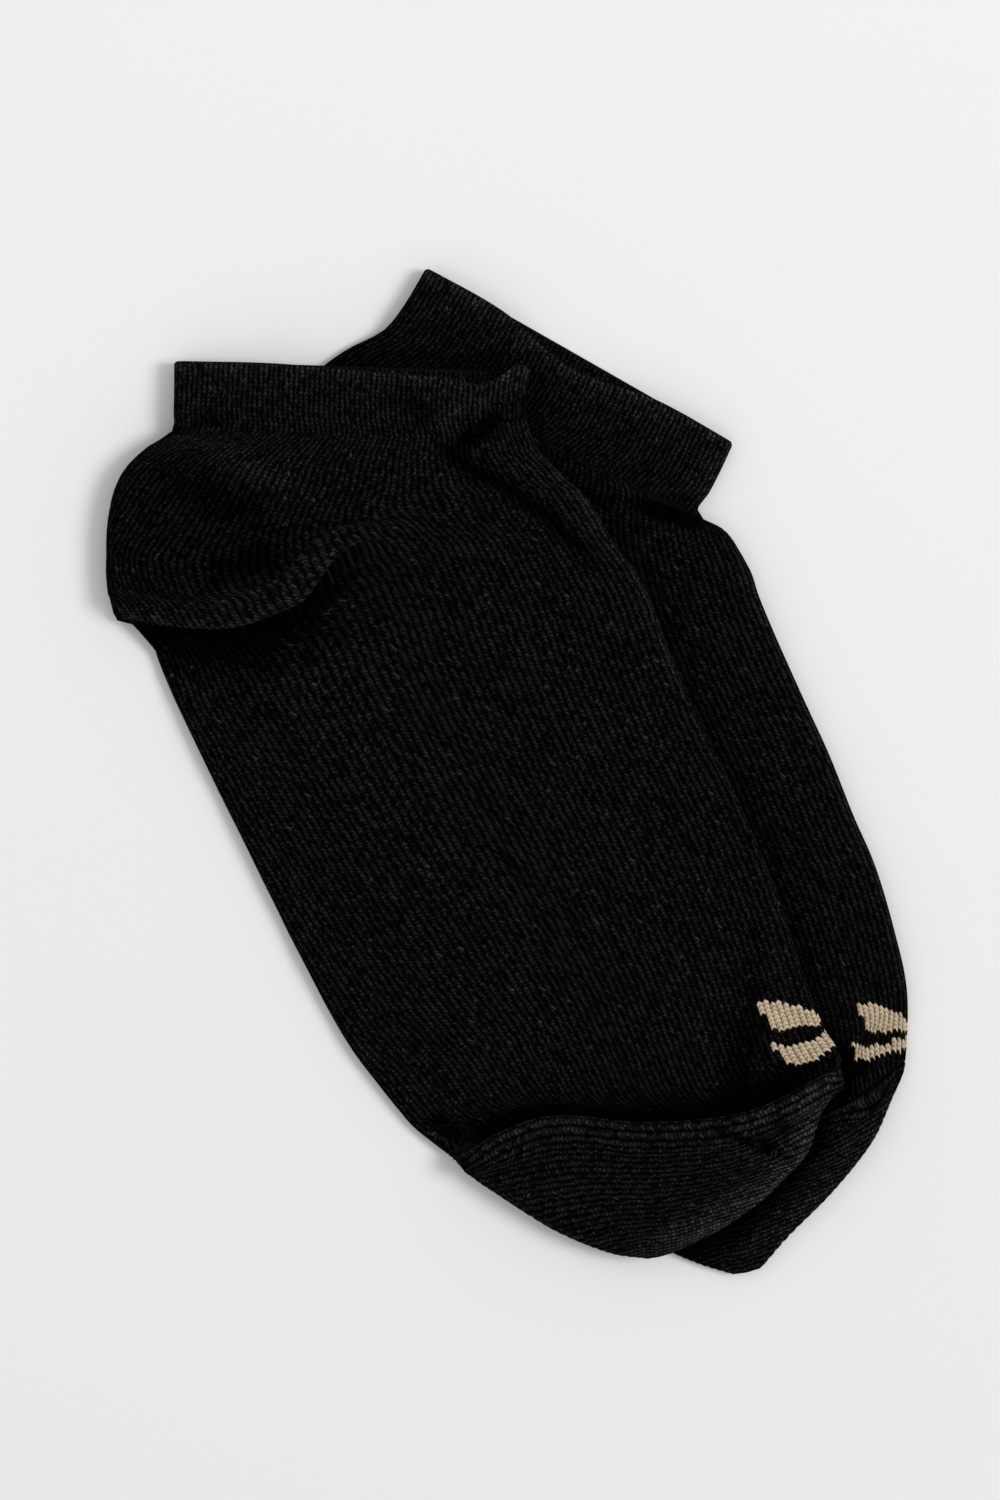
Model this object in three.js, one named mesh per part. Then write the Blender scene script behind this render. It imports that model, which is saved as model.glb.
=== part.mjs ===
// A pair of low-cut knitted socks lying flat in profile, one over the other.
// Millimetres, +Z up, the underside on Z = 0, +Y towards the mouths and +X towards the insteps.
// Each sock is one tube of cloth: a row of sections from the open mouth to the closed toe, with an
// outer and an inner surface that meet in a rim at the mouth.

import * as THREE from 'three';

// Cloth
const WALL = 1.0;          // thickness of the knit
const PRESSED = 2.6;       // both walls of a sock pressed flat, with the air between them
const CLEARANCE = 0.5;     // air between the two socks
const CLIMB = 16;          // run over which the over sock climbs on to the under sock
const OVERHANG = 2.5;      // how far past the under sock's edge it is already at full height
const PRESSED_RIM = 2;     // rim beside the over sock where the under sock is still pressed flat
const SETTLE = 10;         // run over which it rises again beyond that rim

// Shape of each section
const ROUND_SHARE = 0.3;   // largest share of a section's width that one round side fold takes
const FLAT_FOLD = 0.3;     // fullness of the cloth, 0 pressed flat and 1 free, below which no lip shows

// Sampling of each section
const ROUND_STEPS = 3;     // points round each side fold, upper wall
const UNDER_ROUND_STEPS = 2;
const UNDER_STEPS = 9;     // spaces across the flat of the lower wall
const ROW_SPACING = 9;     // longest step from one section to the next
const SOLID_ROWS = 3;      // rows at the toe that have no hollow in them

// Places across a section where its dips and its tops are given, from the sole edge to the instep edge
const DIP_PLACES = [0, 0.25, 0.5, 0.75, 1];
const TOP_PLACES = [0, 0.15, 0.5, 0.85, 1];

// The flat end of the hollow in a toe
const HOLLOW_END = { fill: [0, 0], edge: [1.4, 1.4], top: [2.8, 2.8, 2.8] };

// Places of the upper wall's points between its side folds, closest where a fold dies out
const OVER_PLACES = [
  0.05, 0.1, 0.17, 0.25, 0.32, 0.37, 0.42, 0.47, 0.52, 0.6, 0.69, 0.77, 0.83, 0.88, 0.94,
];
const UNDER_PLACES = [0.12, 0.24, 0.36, 0.48, 0.58, 0.66, 0.73, 0.79, 0.84, 0.89, 0.94];

// The fold at a lip, walked from the overlapping cloth round the lip to the cloth below it.
// along: distance past the lip towards the covered cloth, negative under the lip.
// rise: height above the covered cloth. looseAlong: the same where the fold has opened out.
const LIP_FOLD = [
  { along: -3.4, rise: 4.2, looseAlong: -3.6 },
  { along: -1.4, rise: 4.1, looseAlong: -2.7 },
  { along: -0.4, rise: 3.7, looseAlong: -1.9 },
  { along: 0.0, rise: 2.75, looseAlong: -1.1 },
  { along: -0.4, rise: 1.8, looseAlong: -0.4 },
  { along: -1.4, rise: 1.55, looseAlong: 0.4 },
  { along: -4.6, rise: 1.25, looseAlong: 1.1 },
  { along: -5.3, rise: 0.75, looseAlong: 1.9 },
  { along: -4.6, rise: 0.1, looseAlong: 2.7 },
  { along: -0.4, rise: 0.0, looseAlong: 3.6 },
];
const OPENING_OUT = 0.12;  // share of the width over which an opened fold still stands up

// Sections of the over sock. sole and step: the ends of the section at the sole and the instep side.
// dip: how far it bows towards the toe at its quarter points. edge: height of the side folds' middle.
// top: height of the upper wall near the sole, in the middle and near the instep, above what it
// lies on. fold: the way that the lip of a turned-over pocket faces. drift: how far the fold's rows
// move on along the sole edge, x and y, and along the instep edge. window: places across the section
// where the fold starts, is full, starts to fade and ends. inside: the inner surface's own values
// beside a fold, where fill is solid cloth added at the two edges.
const OVER_SECTIONS = [
  { name: 'mouth', sole: [-66.4, 81.4], step: [4.4, 79.4],
    dip: [0, 0.8, 1.6], edge: [3.4, 2.2], top: [5.6, 4.0, 4.6] },
  { name: 'welt', sole: [-66.4, 77.4], step: [3.8, 75.2],
    dip: [0, 0.6, 1.0], edge: [3.6, 2.2], top: [6.0, 4.4, 4.8] },
  { name: 'cuff', sole: [-66.5, 71.4], step: [4.2, 69.4],
    dip: [0, 0.4, 0.4], edge: [3.6, 2.0], top: [6.4, 4.8, 4.6] },
  { name: 'ankle', sole: [-66.8, 68.0], step: [5.4, 66.0],
    dip: [0, 0, 0], edge: [3.8, 2.0], top: [6.6, 5.0, 4.6] },
  { name: 'heel top', sole: [-71.4, 65.0], step: [6.8, 63.4],
    dip: [0, 0, 0], edge: [4.0, 2.0], top: [7.0, 5.0, 4.6] },
  { name: 'heel shoulder', sole: [-75.6, 61.2], step: [8.8, 61.4],
    dip: [0.4, 0.4, 0], edge: [4.0, 2.0], top: [7.2, 4.8, 4.6] },
  { name: 'heel back', sole: [-78.4, 56.0], step: [10.8, 59.6],
    dip: [1.6, 2.0, 0], edge: [4.0, 2.0], top: [7.2, 4.6, 4.6] },
  { name: 'heel', sole: [-79.8, 48.4], step: [12.6, 57.6],
    dip: [4.0, 2.0, -1.0], edge: [4.0, 2.0], top: [7.0, 4.6, 4.6] },
  { name: 'heel belly', sole: [-79.9, 43.4], step: [14.6, 56.2],
    dip: [4.8, 1.0, -1.8], edge: [4.0, 2.0], top: [6.8, 4.8, 4.6] },
  { name: 'above the lip', sole: [-79.8, 37.0], step: [16.4, 53.8],
    dip: [5.6, -3.0, -2.6], edge: [3.8, 2.0], top: [6.8, 5.0, 4.6],
    inside: { fill: [3, 0], edge: [1.4, 1.6], top: [2.8, 3.6, 4.5] } },
  { name: 'heel lip', sole: [-77.8, 30.2], step: [18.4, 50.8],
    dip: [5.4, -7.4, -3.6], edge: [2.8, 2.0], top: [2.8, 3.6, 4.5],
    inside: { fill: [1.5, 0], edge: [1.4, 1.6], top: [2.8, 3.6, 4.5] },
    fold: 'down', drift: [5.0, -1.4, 1.8, -3.6], window: [0.07, 0.17, 0.34, 0.5] },
  { name: 'foot below the lip', sole: [-69.9, 23.0], step: [23.4, 43.0],
    dip: [5.0, -5.4, -2.6], edge: [1.5, 1.8], top: [2.8, 3.2, 4.4] },
  { name: 'foot 1', sole: [-67.4, 16.8], step: [26.4, 38.6],
    dip: [3.6, -2.0, -1.2], edge: [1.4, 1.6], top: [3.6, 3.2, 4.2] },
  { name: 'foot 2', sole: [-65.8, 13.2], step: [28.6, 34.2],
    dip: [2.0, 0, 0], edge: [1.3, 1.5], top: [4.2, 3.2, 4.0] },
  { name: 'foot 3', sole: [-59.9, 0.8], step: [32.9, 22.4],
    dip: [0.8, 0, 0], edge: [1.3, 1.4], top: [4.4, 3.2, 3.8] },
  { name: 'foot 4', sole: [-51.8, -15.6], step: [39.0, 8.4],
    dip: [0, 0, 0], edge: [1.3, 1.4], top: [4.4, 3.2, 3.6] },
  { name: 'foot 5', sole: [-41.4, -36.6], step: [45.1, -3.6],
    dip: [0, 0, 0], edge: [1.3, 1.4], top: [4.2, 3.2, 3.6] },
  { name: 'foot 6', sole: [-32.2, -53.6], step: [50.9, -16.6],
    dip: [0, 0.6, 0.6], edge: [1.3, 1.4], top: [4.0, 3.2, 3.6] },
  { name: 'foot 7', sole: [-25.6, -62.6], step: [55.4, -28.8],
    dip: [0, 1.4, 1.8], edge: [1.4, 1.4], top: [3.8, 3.2, 3.6] },
  { name: 'ball', sole: [-21.6, -67.6], step: [59.4, -41.0],
    dip: [-0.6, 2.6, 4.0], edge: [1.5, 1.4], top: [3.4, 3.0, 3.6] },
  { name: 'bars', sole: [-18.4, -71.2], step: [62.6, -49.6],
    dip: [-0.8, 3.6, 5.6], edge: [1.5, 1.5], top: [3.0, 2.8, 3.2] },
  { name: 'toe lip', sole: [-12.8, -75.6], step: [66.6, -57.4],
    dip: [-1.2, 4.4, 6.8], edge: [1.8, 1.8], top: [2.8, 2.8, 2.9],
    inside: { fill: [0, 2], edge: [1.4, 1.4], top: [2.8, 2.8, 2.9] },
    fold: 'up', drift: [1.8, -1.4, -0.5, -2.6], window: [0.08, 0.3, 0.66, 0.86] },
  { name: 'toe 1', sole: [-6.6, -81.2], step: [63.0, -66.8],
    dip: [-0.6, 3.4, 4.8], edge: [2.2, 2.2], top: [6.6, 6.8, 5.6],
    inside: { fill: [1, 2], edge: [1.4, 1.4], top: [2.8, 2.8, 2.9] } },
  { name: 'toe 2', sole: [-2.4, -84.0], step: [61.4, -71.8],
    dip: [0, 2.8, 3.4], edge: [2.4, 2.4], top: [6.4, 6.8, 5.6] },
  { name: 'toe 3', sole: [1.2, -86.4], step: [59.8, -76.0],
    dip: [0, 2.0, 2.0], edge: [2.2, 2.4], top: [6.0, 6.6, 5.6] },
  { name: 'toe 4', sole: [8.6, -91.0], step: [55.6, -80.6],
    dip: [0, 1.6, 1.0], edge: [2.0, 2.2], top: [5.2, 5.8, 5.2] },
  { name: 'toe 5', sole: [15.6, -94.2], step: [50.0, -86.0],
    dip: [0, 1.0, 0.6], edge: [1.8, 2.0], top: [4.4, 4.8, 4.6] },
  { name: 'toe 6', sole: [21.8, -96.2], step: [41.6, -91.6],
    dip: [0, 0.6, 0.2], edge: [1.6, 1.8], top: [3.4, 3.8, 3.6] },
  { name: 'tip', sole: [27.4, -96.9], step: [33.8, -95.4],
    dip: [0, 0.1, 0], edge: [1.4, 1.5], top: [2.7, 2.8, 2.8] },
];

// Sections of the under sock, in the same columns.
const UNDER_SECTIONS = [
  { name: 'mouth', sole: [-16.4, 100.2], step: [45.0, 65.2],
    dip: [0, 3.0, 0.2], edge: [2.6, 1.6], top: [4.6, 4.4, 4.2] },
  { name: 'welt', sole: [-20.4, 93.4], step: [42.8, 60.4],
    dip: [0, 2.0, 0], edge: [2.8, 1.8], top: [5.0, 4.4, 4.4] },
  { name: 'cuff', sole: [-24.4, 88.4], step: [40.2, 55.4],
    dip: [0, 1.2, 0], edge: [2.6, 1.8], top: [4.8, 4.2, 4.6] },
  { name: 'ankle', sole: [-28.8, 86.0], step: [38.3, 53.0],
    dip: [0, 0.6, 0], edge: [2.2, 1.6], top: [4.2, 3.8, 4.0] },
  { name: 'notch', sole: [-30.6, 85.2], step: [37.9, 51.2],
    dip: [0, 0, 0], edge: [2.0, 1.4], top: [4.2, 3.8, 2.7] },
  { name: 'below the notch', sole: [-33.6, 83.4], step: [42.8, 48.8],
    dip: [0, 0, 0], edge: [2.0, 1.4], top: [4.2, 3.8, 3.2],
    inside: { fill: [0, 5], edge: [2.0, 1.4], top: [4.2, 3.8, 2.8] } },
  { name: 'heel top', sole: [-37.6, 80.4], step: [44.8, 46.8],
    dip: [0, 0, 0], edge: [1.8, 1.4], top: [4.0, 3.6, 3.8] },
  { name: 'heel shoulder', sole: [-44.4, 73.4], step: [46.2, 44.6],
    dip: [0, 0, 0], edge: [1.3, 1.5], top: [2.6, 3.0, 4.4] },
  { name: 'heel back', sole: [-48.6, 64.4], step: [47.6, 42.2],
    dip: [0, 0, 0], edge: [1.3, 1.5], top: [2.6, 2.8, 4.6] },
  { name: 'heel', sole: [-49.8, 54.4], step: [49.0, 39.4],
    dip: [0, 0, 0], edge: [1.3, 1.5], top: [2.6, 2.6, 4.6] },
  { name: 'heel end', sole: [-47.8, 42.4], step: [50.4, 35.0],
    dip: [0, 0, 0], edge: [1.3, 1.5], top: [2.6, 2.6, 4.6] },
  { name: 'foot 1', sole: [-43.4, 26.4], step: [54.0, 26.4],
    dip: [0, 0, 0], edge: [1.3, 1.5], top: [2.6, 2.6, 4.4] },
  { name: 'foot 2', sole: [-34.4, 5.4], step: [59.2, 14.8],
    dip: [0, 0, 0], edge: [1.3, 1.4], top: [2.6, 2.6, 4.2] },
  { name: 'foot 3', sole: [-24.4, -16.6], step: [64.6, 3.0],
    dip: [0, 0, 0], edge: [1.3, 1.4], top: [2.6, 2.6, 4.2] },
  { name: 'foot 4', sole: [-15.4, -35.6], step: [69.2, -8.6],
    dip: [0, 0, 0], edge: [1.3, 1.4], top: [2.6, 2.6, 4.2] },
  { name: 'foot 5', sole: [-7.4, -51.6], step: [73.6, -18.8],
    dip: [0, 0, 0.6], edge: [1.3, 1.4], top: [2.6, 2.6, 4.2] },
  { name: 'ball', sole: [-0.4, -64.6], step: [77.4, -31.6],
    dip: [0, 1.0, 2.4], edge: [1.3, 1.4], top: [2.6, 2.6, 4.0] },
  { name: 'bars', sole: [4.6, -71.6], step: [79.9, -43.4],
    dip: [0, 2.6, 5.0], edge: [1.3, 1.5], top: [2.6, 2.6, 3.6] },
  { name: 'toe lip', sole: [9.6, -77.6], step: [79.7, -56.4],
    dip: [0, 3.6, 5.4], edge: [1.3, 1.6], top: [2.6, 2.6, 2.8],
    inside: { fill: [0, 2], edge: [1.3, 1.4], top: [2.6, 2.6, 2.8] },
    fold: 'up', drift: [1.6, -1.2, -0.2, -2.4], window: [0.5, 0.66, 0.76, 0.86] },
  { name: 'toe 1', sole: [15.6, -82.4], step: [76.6, -66.0],
    dip: [0, 3.0, 4.2], edge: [1.3, 2.0], top: [2.6, 2.8, 5.4],
    inside: { fill: [0, 1.5], edge: [1.3, 1.4], top: [2.6, 2.6, 2.8] } },
  { name: 'toe 2', sole: [20.6, -86.8], step: [73.8, -72.4],
    dip: [0, 2.4, 3.0], edge: [1.3, 2.2], top: [2.6, 3.2, 5.4] },
  { name: 'toe 3', sole: [25.6, -91.2], step: [69.8, -78.2],
    dip: [0, 1.6, 1.4], edge: [1.3, 2.2], top: [2.6, 3.8, 5.2] },
  { name: 'toe 4', sole: [32.2, -95.6], step: [63.8, -85.2],
    dip: [0, 1.0, 0.6], edge: [1.4, 2.0], top: [2.8, 4.2, 4.8] },
  { name: 'toe 5', sole: [38.6, -98.4], step: [56.6, -92.4],
    dip: [0, 0.6, 0.2], edge: [1.4, 1.7], top: [2.9, 3.8, 4.0] },
  { name: 'tip', sole: [44.6, -100.2], step: [51.0, -98.8],
    dip: [0, 0.1, 0], edge: [1.4, 1.5], top: [2.7, 2.8, 2.8] },
];

// Soft ridges and troughs pressed into the upper wall: where their middle lies, how their length is
// turned from +X, half their length and width, and how far they rise.
const OVER_CREASES = [
  { name: 'curled corner of the mouth', at: [1.0, 77.0], turn: 25, long: 4.5, wide: 3.4, rise: 2.2 },
  { name: 'instep roll, top', at: [-1.6, 65.6], turn: -42, long: 7, wide: 4.0, rise: 1.6 },
  { name: 'instep roll, middle', at: [6.4, 58.6], turn: -42, long: 8, wide: 4.2, rise: 1.8 },
  { name: 'instep roll, foot', at: [14.4, 50.0], turn: -50, long: 9, wide: 3.6, rise: 1.4 },
  { name: 'trough by the roll, top', at: [-9.4, 62.4], turn: -38, long: 6, wide: 3.0, rise: -1.3 },
  { name: 'trough by the roll, middle', at: [-0.6, 56.6], turn: -33, long: 7, wide: 3.2, rise: -1.2 },
  { name: 'trough by the roll, foot', at: [9.0, 49.6], turn: -42, long: 7, wide: 3.0, rise: -1.0 },
  { name: 'hollow of the heel', at: [-49.4, 46.2], turn: 60, long: 9, wide: 5.5, rise: -2.2 },
  { name: 'crease under the cuff', at: [-60.0, 65.6], turn: 12, long: 6, wide: 3.2, rise: -0.8 },
  { name: 'puffed foot beside the bars', at: [42.0, -44.0], turn: -60, long: 16, wide: 9, rise: 0.6 },
];
const UNDER_CREASES = [
  { name: 'crease at the instep', at: [33.6, 51.4], turn: -20, long: 6, wide: 3.0, rise: -1.2 },
  { name: 'roll above the crease', at: [31.0, 57.4], turn: -28, long: 9, wide: 3.6, rise: 0.8 },
  { name: 'puffed instep', at: [43.0, 42.0], turn: -62, long: 10, wide: 5, rise: 0.6 },
];

const smooth = (low, high, value) => THREE.MathUtils.smoothstep(value, low, high);

// A smooth curve through values given at uneven places.
function through(places, values, at) {
  const last = places.length - 1;
  let i = 0;
  while (i < last - 1 && at > places[i + 1]) i += 1;
  const slope = (k) => {
    const before = Math.max(k - 1, 0);
    const after = Math.min(k + 1, last);
    return (values[after] - values[before]) / (places[after] - places[before]);
  };
  const span = places[i + 1] - places[i];
  const t = (at - places[i]) / span;
  const t2 = t * t;
  const t3 = t2 * t;
  return (2 * t3 - 3 * t2 + 1) * values[i] + (t3 - 2 * t2 + t) * span * slope(i)
    + (3 * t2 - 2 * t3) * values[i + 1] + (t3 - t2) * span * slope(i + 1);
}

const lerp = THREE.MathUtils.lerp;

// The window of a fold across a section: none before its first place, full between the middle two.
function windowAt(window, across) {
  const [start, full, fade, end] = window;
  const rising = full > start ? smooth(start, full, across) : 1;
  return rising * (1 - smooth(fade, end, across));
}

// A fold's section becomes one section for each step of the fold, drifting along the sock's edges.
function unfold(section) {
  const down = section.fold === 'down';
  const steps = down ? LIP_FOLD : [...LIP_FOLD].reverse();
  const [soleX, soleY, stepX, stepY] = section.drift;
  return steps.map((step, i) => {
    const share = i / (steps.length - 1);
    return {
      ...section,
      sole: [section.sole[0] + soleX * share, section.sole[1] + soleY * share],
      step: [section.step[0] + stepX * share, section.step[1] + stepY * share],
      turn: down ? 1 : -1,
      crease: step,
    };
  });
}

// Sections added between two that lie far apart, on smooth curves through the table's values.
function fillIn(sections) {
  const places = [0];
  sections.slice(1).forEach((section, k) => {
    const before = sections[k];
    const sole = Math.hypot(section.sole[0] - before.sole[0], section.sole[1] - before.sole[1]);
    const step = Math.hypot(section.step[0] - before.step[0], section.step[1] - before.step[1]);
    places.push(places[k] + (sole + step) / 2);
  });
  const blend = (key, at) => sections[0][key].map((_, i) => (
    through(places, sections.map((section) => section[key][i]), at)));
  return sections.flatMap((section, k) => {
    const next = sections[k + 1];
    if (!next || section.crease || next.crease) return [section];
    const parts = Math.ceil((places[k + 1] - places[k]) / ROW_SPACING);
    const added = Array.from({ length: parts - 1 }, (_, part) => {
      const at = lerp(places[k], places[k + 1], (part + 1) / parts);
      return {
        name: section.name,
        sole: blend('sole', at),
        step: blend('step', at),
        dip: blend('dip', at),
        edge: blend('edge', at),
        top: blend('top', at),
      };
    });
    return [section, ...added];
  });
}

// The upper wall's outline in plan, in order round the sock, for the distance to the other sock.
function outlineOf(sections) {
  const soles = sections.map((section) => section.sole);
  const insteps = sections.map((section) => section.step);
  return [...soles, ...insteps.reverse()];
}

// Distance from a point to an outline, negative inside it.
function distanceTo(outline, x, y) {
  let nearest = Infinity;
  let inside = false;
  outline.forEach(([x1, y1], i) => {
    const [x2, y2] = outline[(i + 1) % outline.length];
    const dx = x2 - x1;
    const dy = y2 - y1;
    const run = dx * dx + dy * dy || 1;
    const share = THREE.MathUtils.clamp(((x - x1) * dx + (y - y1) * dy) / run, 0, 1);
    nearest = Math.min(nearest, Math.hypot(x - x1 - dx * share, y - y1 - dy * share));
    if ((y1 > y) !== (y2 > y) && x < x1 + (dx * (y - y1)) / dy) inside = !inside;
  });
  return inside ? -nearest : nearest;
}

// How far the creases near a point raise or lower it.
function creasedBy(creases, x, y) {
  return creases.reduce((sum, { at, turn, long, wide, rise }) => {
    const angle = THREE.MathUtils.degToRad(turn);
    const along = (x - at[0]) * Math.cos(angle) + (y - at[1]) * Math.sin(angle);
    const across = (y - at[1]) * Math.cos(angle) - (x - at[0]) * Math.sin(angle);
    return sum + rise * Math.exp(-((along / long) ** 2) - (across / wide) ** 2);
  }, 0);
}

// One ring of a sock: the upper wall from the sole edge to the instep edge, then back below.
// places, creases, baseAt, puffAt: the spacing of its points, its creases, the height of what it lies
// on and its fullness there.
// inset is 0 for the outer surface and the wall's thickness for the inner one, which runs straight
// past a fold, so that the layers of a fold are one solid with its lip standing free.
function ringOf(section, { places, creases, baseAt, puffAt }, inset) {
  const [soleX, soleY] = section.sole;
  const [stepX, stepY] = section.step;
  const width = Math.hypot(stepX - soleX, stepY - soleY);
  const toeward = [(stepY - soleY) / width, -(stepX - soleX) / width];
  const dips = [0, ...section.dip, 0];
  const shape = inset > 0 && section.inside ? section.inside : section;
  const { edge: edges, fill = [0, 0] } = shape;
  const [topSole, topMid, topStep] = shape.top;
  const tops = [topSole, topSole, topMid, topStep, topStep];

  const upper = (across, roundness, side) => {
    let dip = through(DIP_PLACES, dips, across);
    let top = through(TOP_PLACES, tops, across);
    const chordX = lerp(soleX, stepX, across);
    const chordY = lerp(soleY, stepY, across);
    const puff = puffAt(chordX + toeward[0] * dip, chordY + toeward[1] * dip);
    if (section.crease) {
      const [start, , , end] = section.window;
      const lip = windowAt(section.window, across) * smooth(FLAT_FOLD, 1, puff);
      const folded = inset > 0 ? 0 : lip;
      const standing = windowAt([0, start, end, Math.min(end + OPENING_OUT, 1)], across) * puff;
      const { along, rise, looseAlong } = section.crease;
      dip += section.turn * lerp(looseAlong * standing, along, folded);
      top += inset > 0 ? 0 : rise * standing;
    }
    const x = chordX + toeward[0] * dip;
    const y = chordY + toeward[1] * dip;
    const edge = lerp(PRESSED / 2, edges[side], puff);
    const creased = top + creasedBy(creases, x, y);
    const puffed = PRESSED + Math.max(creased - PRESSED, 0) * puff - inset;
    return [x, y, baseAt(x, y) + edge + (puffed - edge) * roundness];
  };
  const lower = (across, roundness, side) => {
    const x = lerp(soleX, stepX, across);
    const y = lerp(soleY, stepY, across);
    const edge = lerp(PRESSED / 2, edges[side], puffAt(x, y));
    return [x, y, baseAt(x, y) + edge + (inset - edge) * roundness];
  };

  const roundOf = (height) => Math.min(Math.max(height, PRESSED / 2), width * ROUND_SHARE) - inset;
  const upperRound = [roundOf(topSole - edges[0]), roundOf(topStep - edges[1])];
  const lowerRound = edges.map(roundOf);
  const starts = fill.map((extra) => inset + extra);
  const walk = (steps, rounding, side, place) => {
    const points = [];
    for (let k = 1; k <= steps; k += 1) {
      const angle = (k / steps) * Math.PI / 2;
      const across = (starts[side] + rounding * (1 - Math.cos(angle))) / width;
      points.push(place(side === 0 ? across : 1 - across, Math.sin(angle), side));
    }
    return side === 0 ? points : points.reverse();
  };

  const ring = [upper(starts[0] / width, 0, 0), ...walk(ROUND_STEPS, upperRound[0], 0, upper)];
  const from = (starts[0] + upperRound[0]) / width;
  const to = 1 - (starts[1] + upperRound[1]) / width;
  places.forEach((place) => ring.push(upper(lerp(from, to, place), 1, 0)));
  ring.push(...walk(ROUND_STEPS, upperRound[1], 1, upper), upper(1 - starts[1] / width, 0, 1));
  ring.push(...walk(UNDER_ROUND_STEPS, lowerRound[1], 1, lower).reverse());
  const back = 1 - (starts[1] + lowerRound[1]) / width;
  const front = (starts[0] + lowerRound[0]) / width;
  for (let k = 1; k < UNDER_STEPS; k += 1) ring.push(lower(lerp(back, front, k / UNDER_STEPS), 1, 0));
  ring.push(...walk(UNDER_ROUND_STEPS, lowerRound[0], 0, lower).reverse());
  return ring.map(([x, y, z]) => new THREE.Vector3(x, y, z));
}

// One sock: its outer and inner surfaces, the rim between them at the mouth and the closed toe ends.
function sock(name, colour, sections, lay) {
  const rows = fillIn(sections.flatMap((section) => (section.fold ? unfold(section) : [section])));
  const outer = rows.map((section) => ringOf(section, lay, 0));
  const hollow = rows.slice(0, rows.length - SOLID_ROWS);
  hollow.push({ ...hollow.pop(), inside: HOLLOW_END });
  const inner = hollow.map((section) => ringOf(section, lay, WALL));
  const count = outer[0].length;
  const positions = [];
  const indices = [];
  const addRings = (rings) => {
    const start = positions.length / 3;
    rings.flat().forEach((point) => positions.push(point.x, point.y, point.z));
    return start;
  };
  const addPoint = (ring) => {
    const middle = ring.reduce((sum, point) => sum.add(point), new THREE.Vector3()).divideScalar(count);
    positions.push(middle.x, middle.y, middle.z);
    return positions.length / 3 - 1;
  };
  const outerStart = addRings(outer);
  const innerStart = addRings(inner);
  const quad = (a, b, c, d) => indices.push(a, b, c, a, c, d);
  const skin = (start, rowCount, flip) => {
    for (let j = 0; j < rowCount - 1; j += 1) {
      for (let i = 0; i < count; i += 1) {
        const next = (i + 1) % count;
        const a = start + j * count + i;
        const b = start + j * count + next;
        const c = start + (j + 1) * count + next;
        const d = start + (j + 1) * count + i;
        if (flip) quad(a, b, c, d);
        else quad(a, d, c, b);
      }
    }
  };
  skin(outerStart, outer.length, false);
  skin(innerStart, inner.length, true);
  const outerTip = addPoint(outer[outer.length - 1]);
  const innerTip = addPoint(inner[inner.length - 1]);
  for (let i = 0; i < count; i += 1) {
    const next = (i + 1) % count;
    quad(outerStart + i, outerStart + next, innerStart + next, innerStart + i);
    const outerEnd = outerStart + (outer.length - 1) * count;
    indices.push(outerEnd + i, outerTip, outerEnd + next);
    const innerEnd = innerStart + (inner.length - 1) * count;
    indices.push(innerEnd + i, innerEnd + next, innerTip);
  }
  const geometry = new THREE.BufferGeometry();
  geometry.setAttribute('position', new THREE.Float32BufferAttribute(positions, 3));
  geometry.setIndex(indices);
  geometry.computeVertexNormals();
  const knit = new THREE.MeshStandardMaterial({ color: colour, roughness: 0.95, metalness: 0 });
  const mesh = new THREE.Mesh(geometry, knit);
  mesh.name = name;
  return mesh;
}

const overOutline = outlineOf(OVER_SECTIONS);
const underOutline = outlineOf(UNDER_SECTIONS);
const overLay = {
  places: OVER_PLACES,
  creases: OVER_CREASES,
  baseAt: (x, y) => (
    (PRESSED + CLEARANCE) * (1 - smooth(OVERHANG, OVERHANG + CLIMB, distanceTo(underOutline, x, y)))),
  puffAt: () => 1,
};
const underLay = {
  places: UNDER_PLACES,
  creases: UNDER_CREASES,
  baseAt: () => 0,
  puffAt: (x, y) => smooth(PRESSED_RIM, PRESSED_RIM + SETTLE, distanceTo(overOutline, x, y)),
};

const group = new THREE.Group();
group.add(sock('sock_over', 0x1a1a1c, OVER_SECTIONS, overLay));
group.add(sock('sock_under', 0x161618, UNDER_SECTIONS, underLay));

export default group;
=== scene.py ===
import math
import bmesh
import bpy
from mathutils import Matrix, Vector, noise


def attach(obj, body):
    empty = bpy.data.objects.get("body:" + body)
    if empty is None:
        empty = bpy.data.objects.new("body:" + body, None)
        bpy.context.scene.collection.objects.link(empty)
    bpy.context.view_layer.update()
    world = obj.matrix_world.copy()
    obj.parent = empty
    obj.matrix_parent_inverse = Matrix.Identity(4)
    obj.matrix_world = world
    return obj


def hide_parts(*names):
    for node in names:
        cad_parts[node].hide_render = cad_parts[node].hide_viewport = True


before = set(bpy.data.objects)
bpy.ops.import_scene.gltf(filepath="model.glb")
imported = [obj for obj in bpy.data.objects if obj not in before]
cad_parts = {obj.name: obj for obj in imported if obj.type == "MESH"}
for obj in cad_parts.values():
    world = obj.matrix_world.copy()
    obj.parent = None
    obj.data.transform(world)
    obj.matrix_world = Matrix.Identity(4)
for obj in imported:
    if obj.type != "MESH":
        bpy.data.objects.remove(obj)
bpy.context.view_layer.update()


# The camera
# It looks straight down on the pair as they lie, with the mouths towards the top of the picture.
PICTURE_HEIGHT = 0.300        # of the surface, in metres
PICTURE_MIDDLE = (-0.0014, 0.0044)
LENS = 135                    # lens and film in millimetres
FILM = 36

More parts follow.
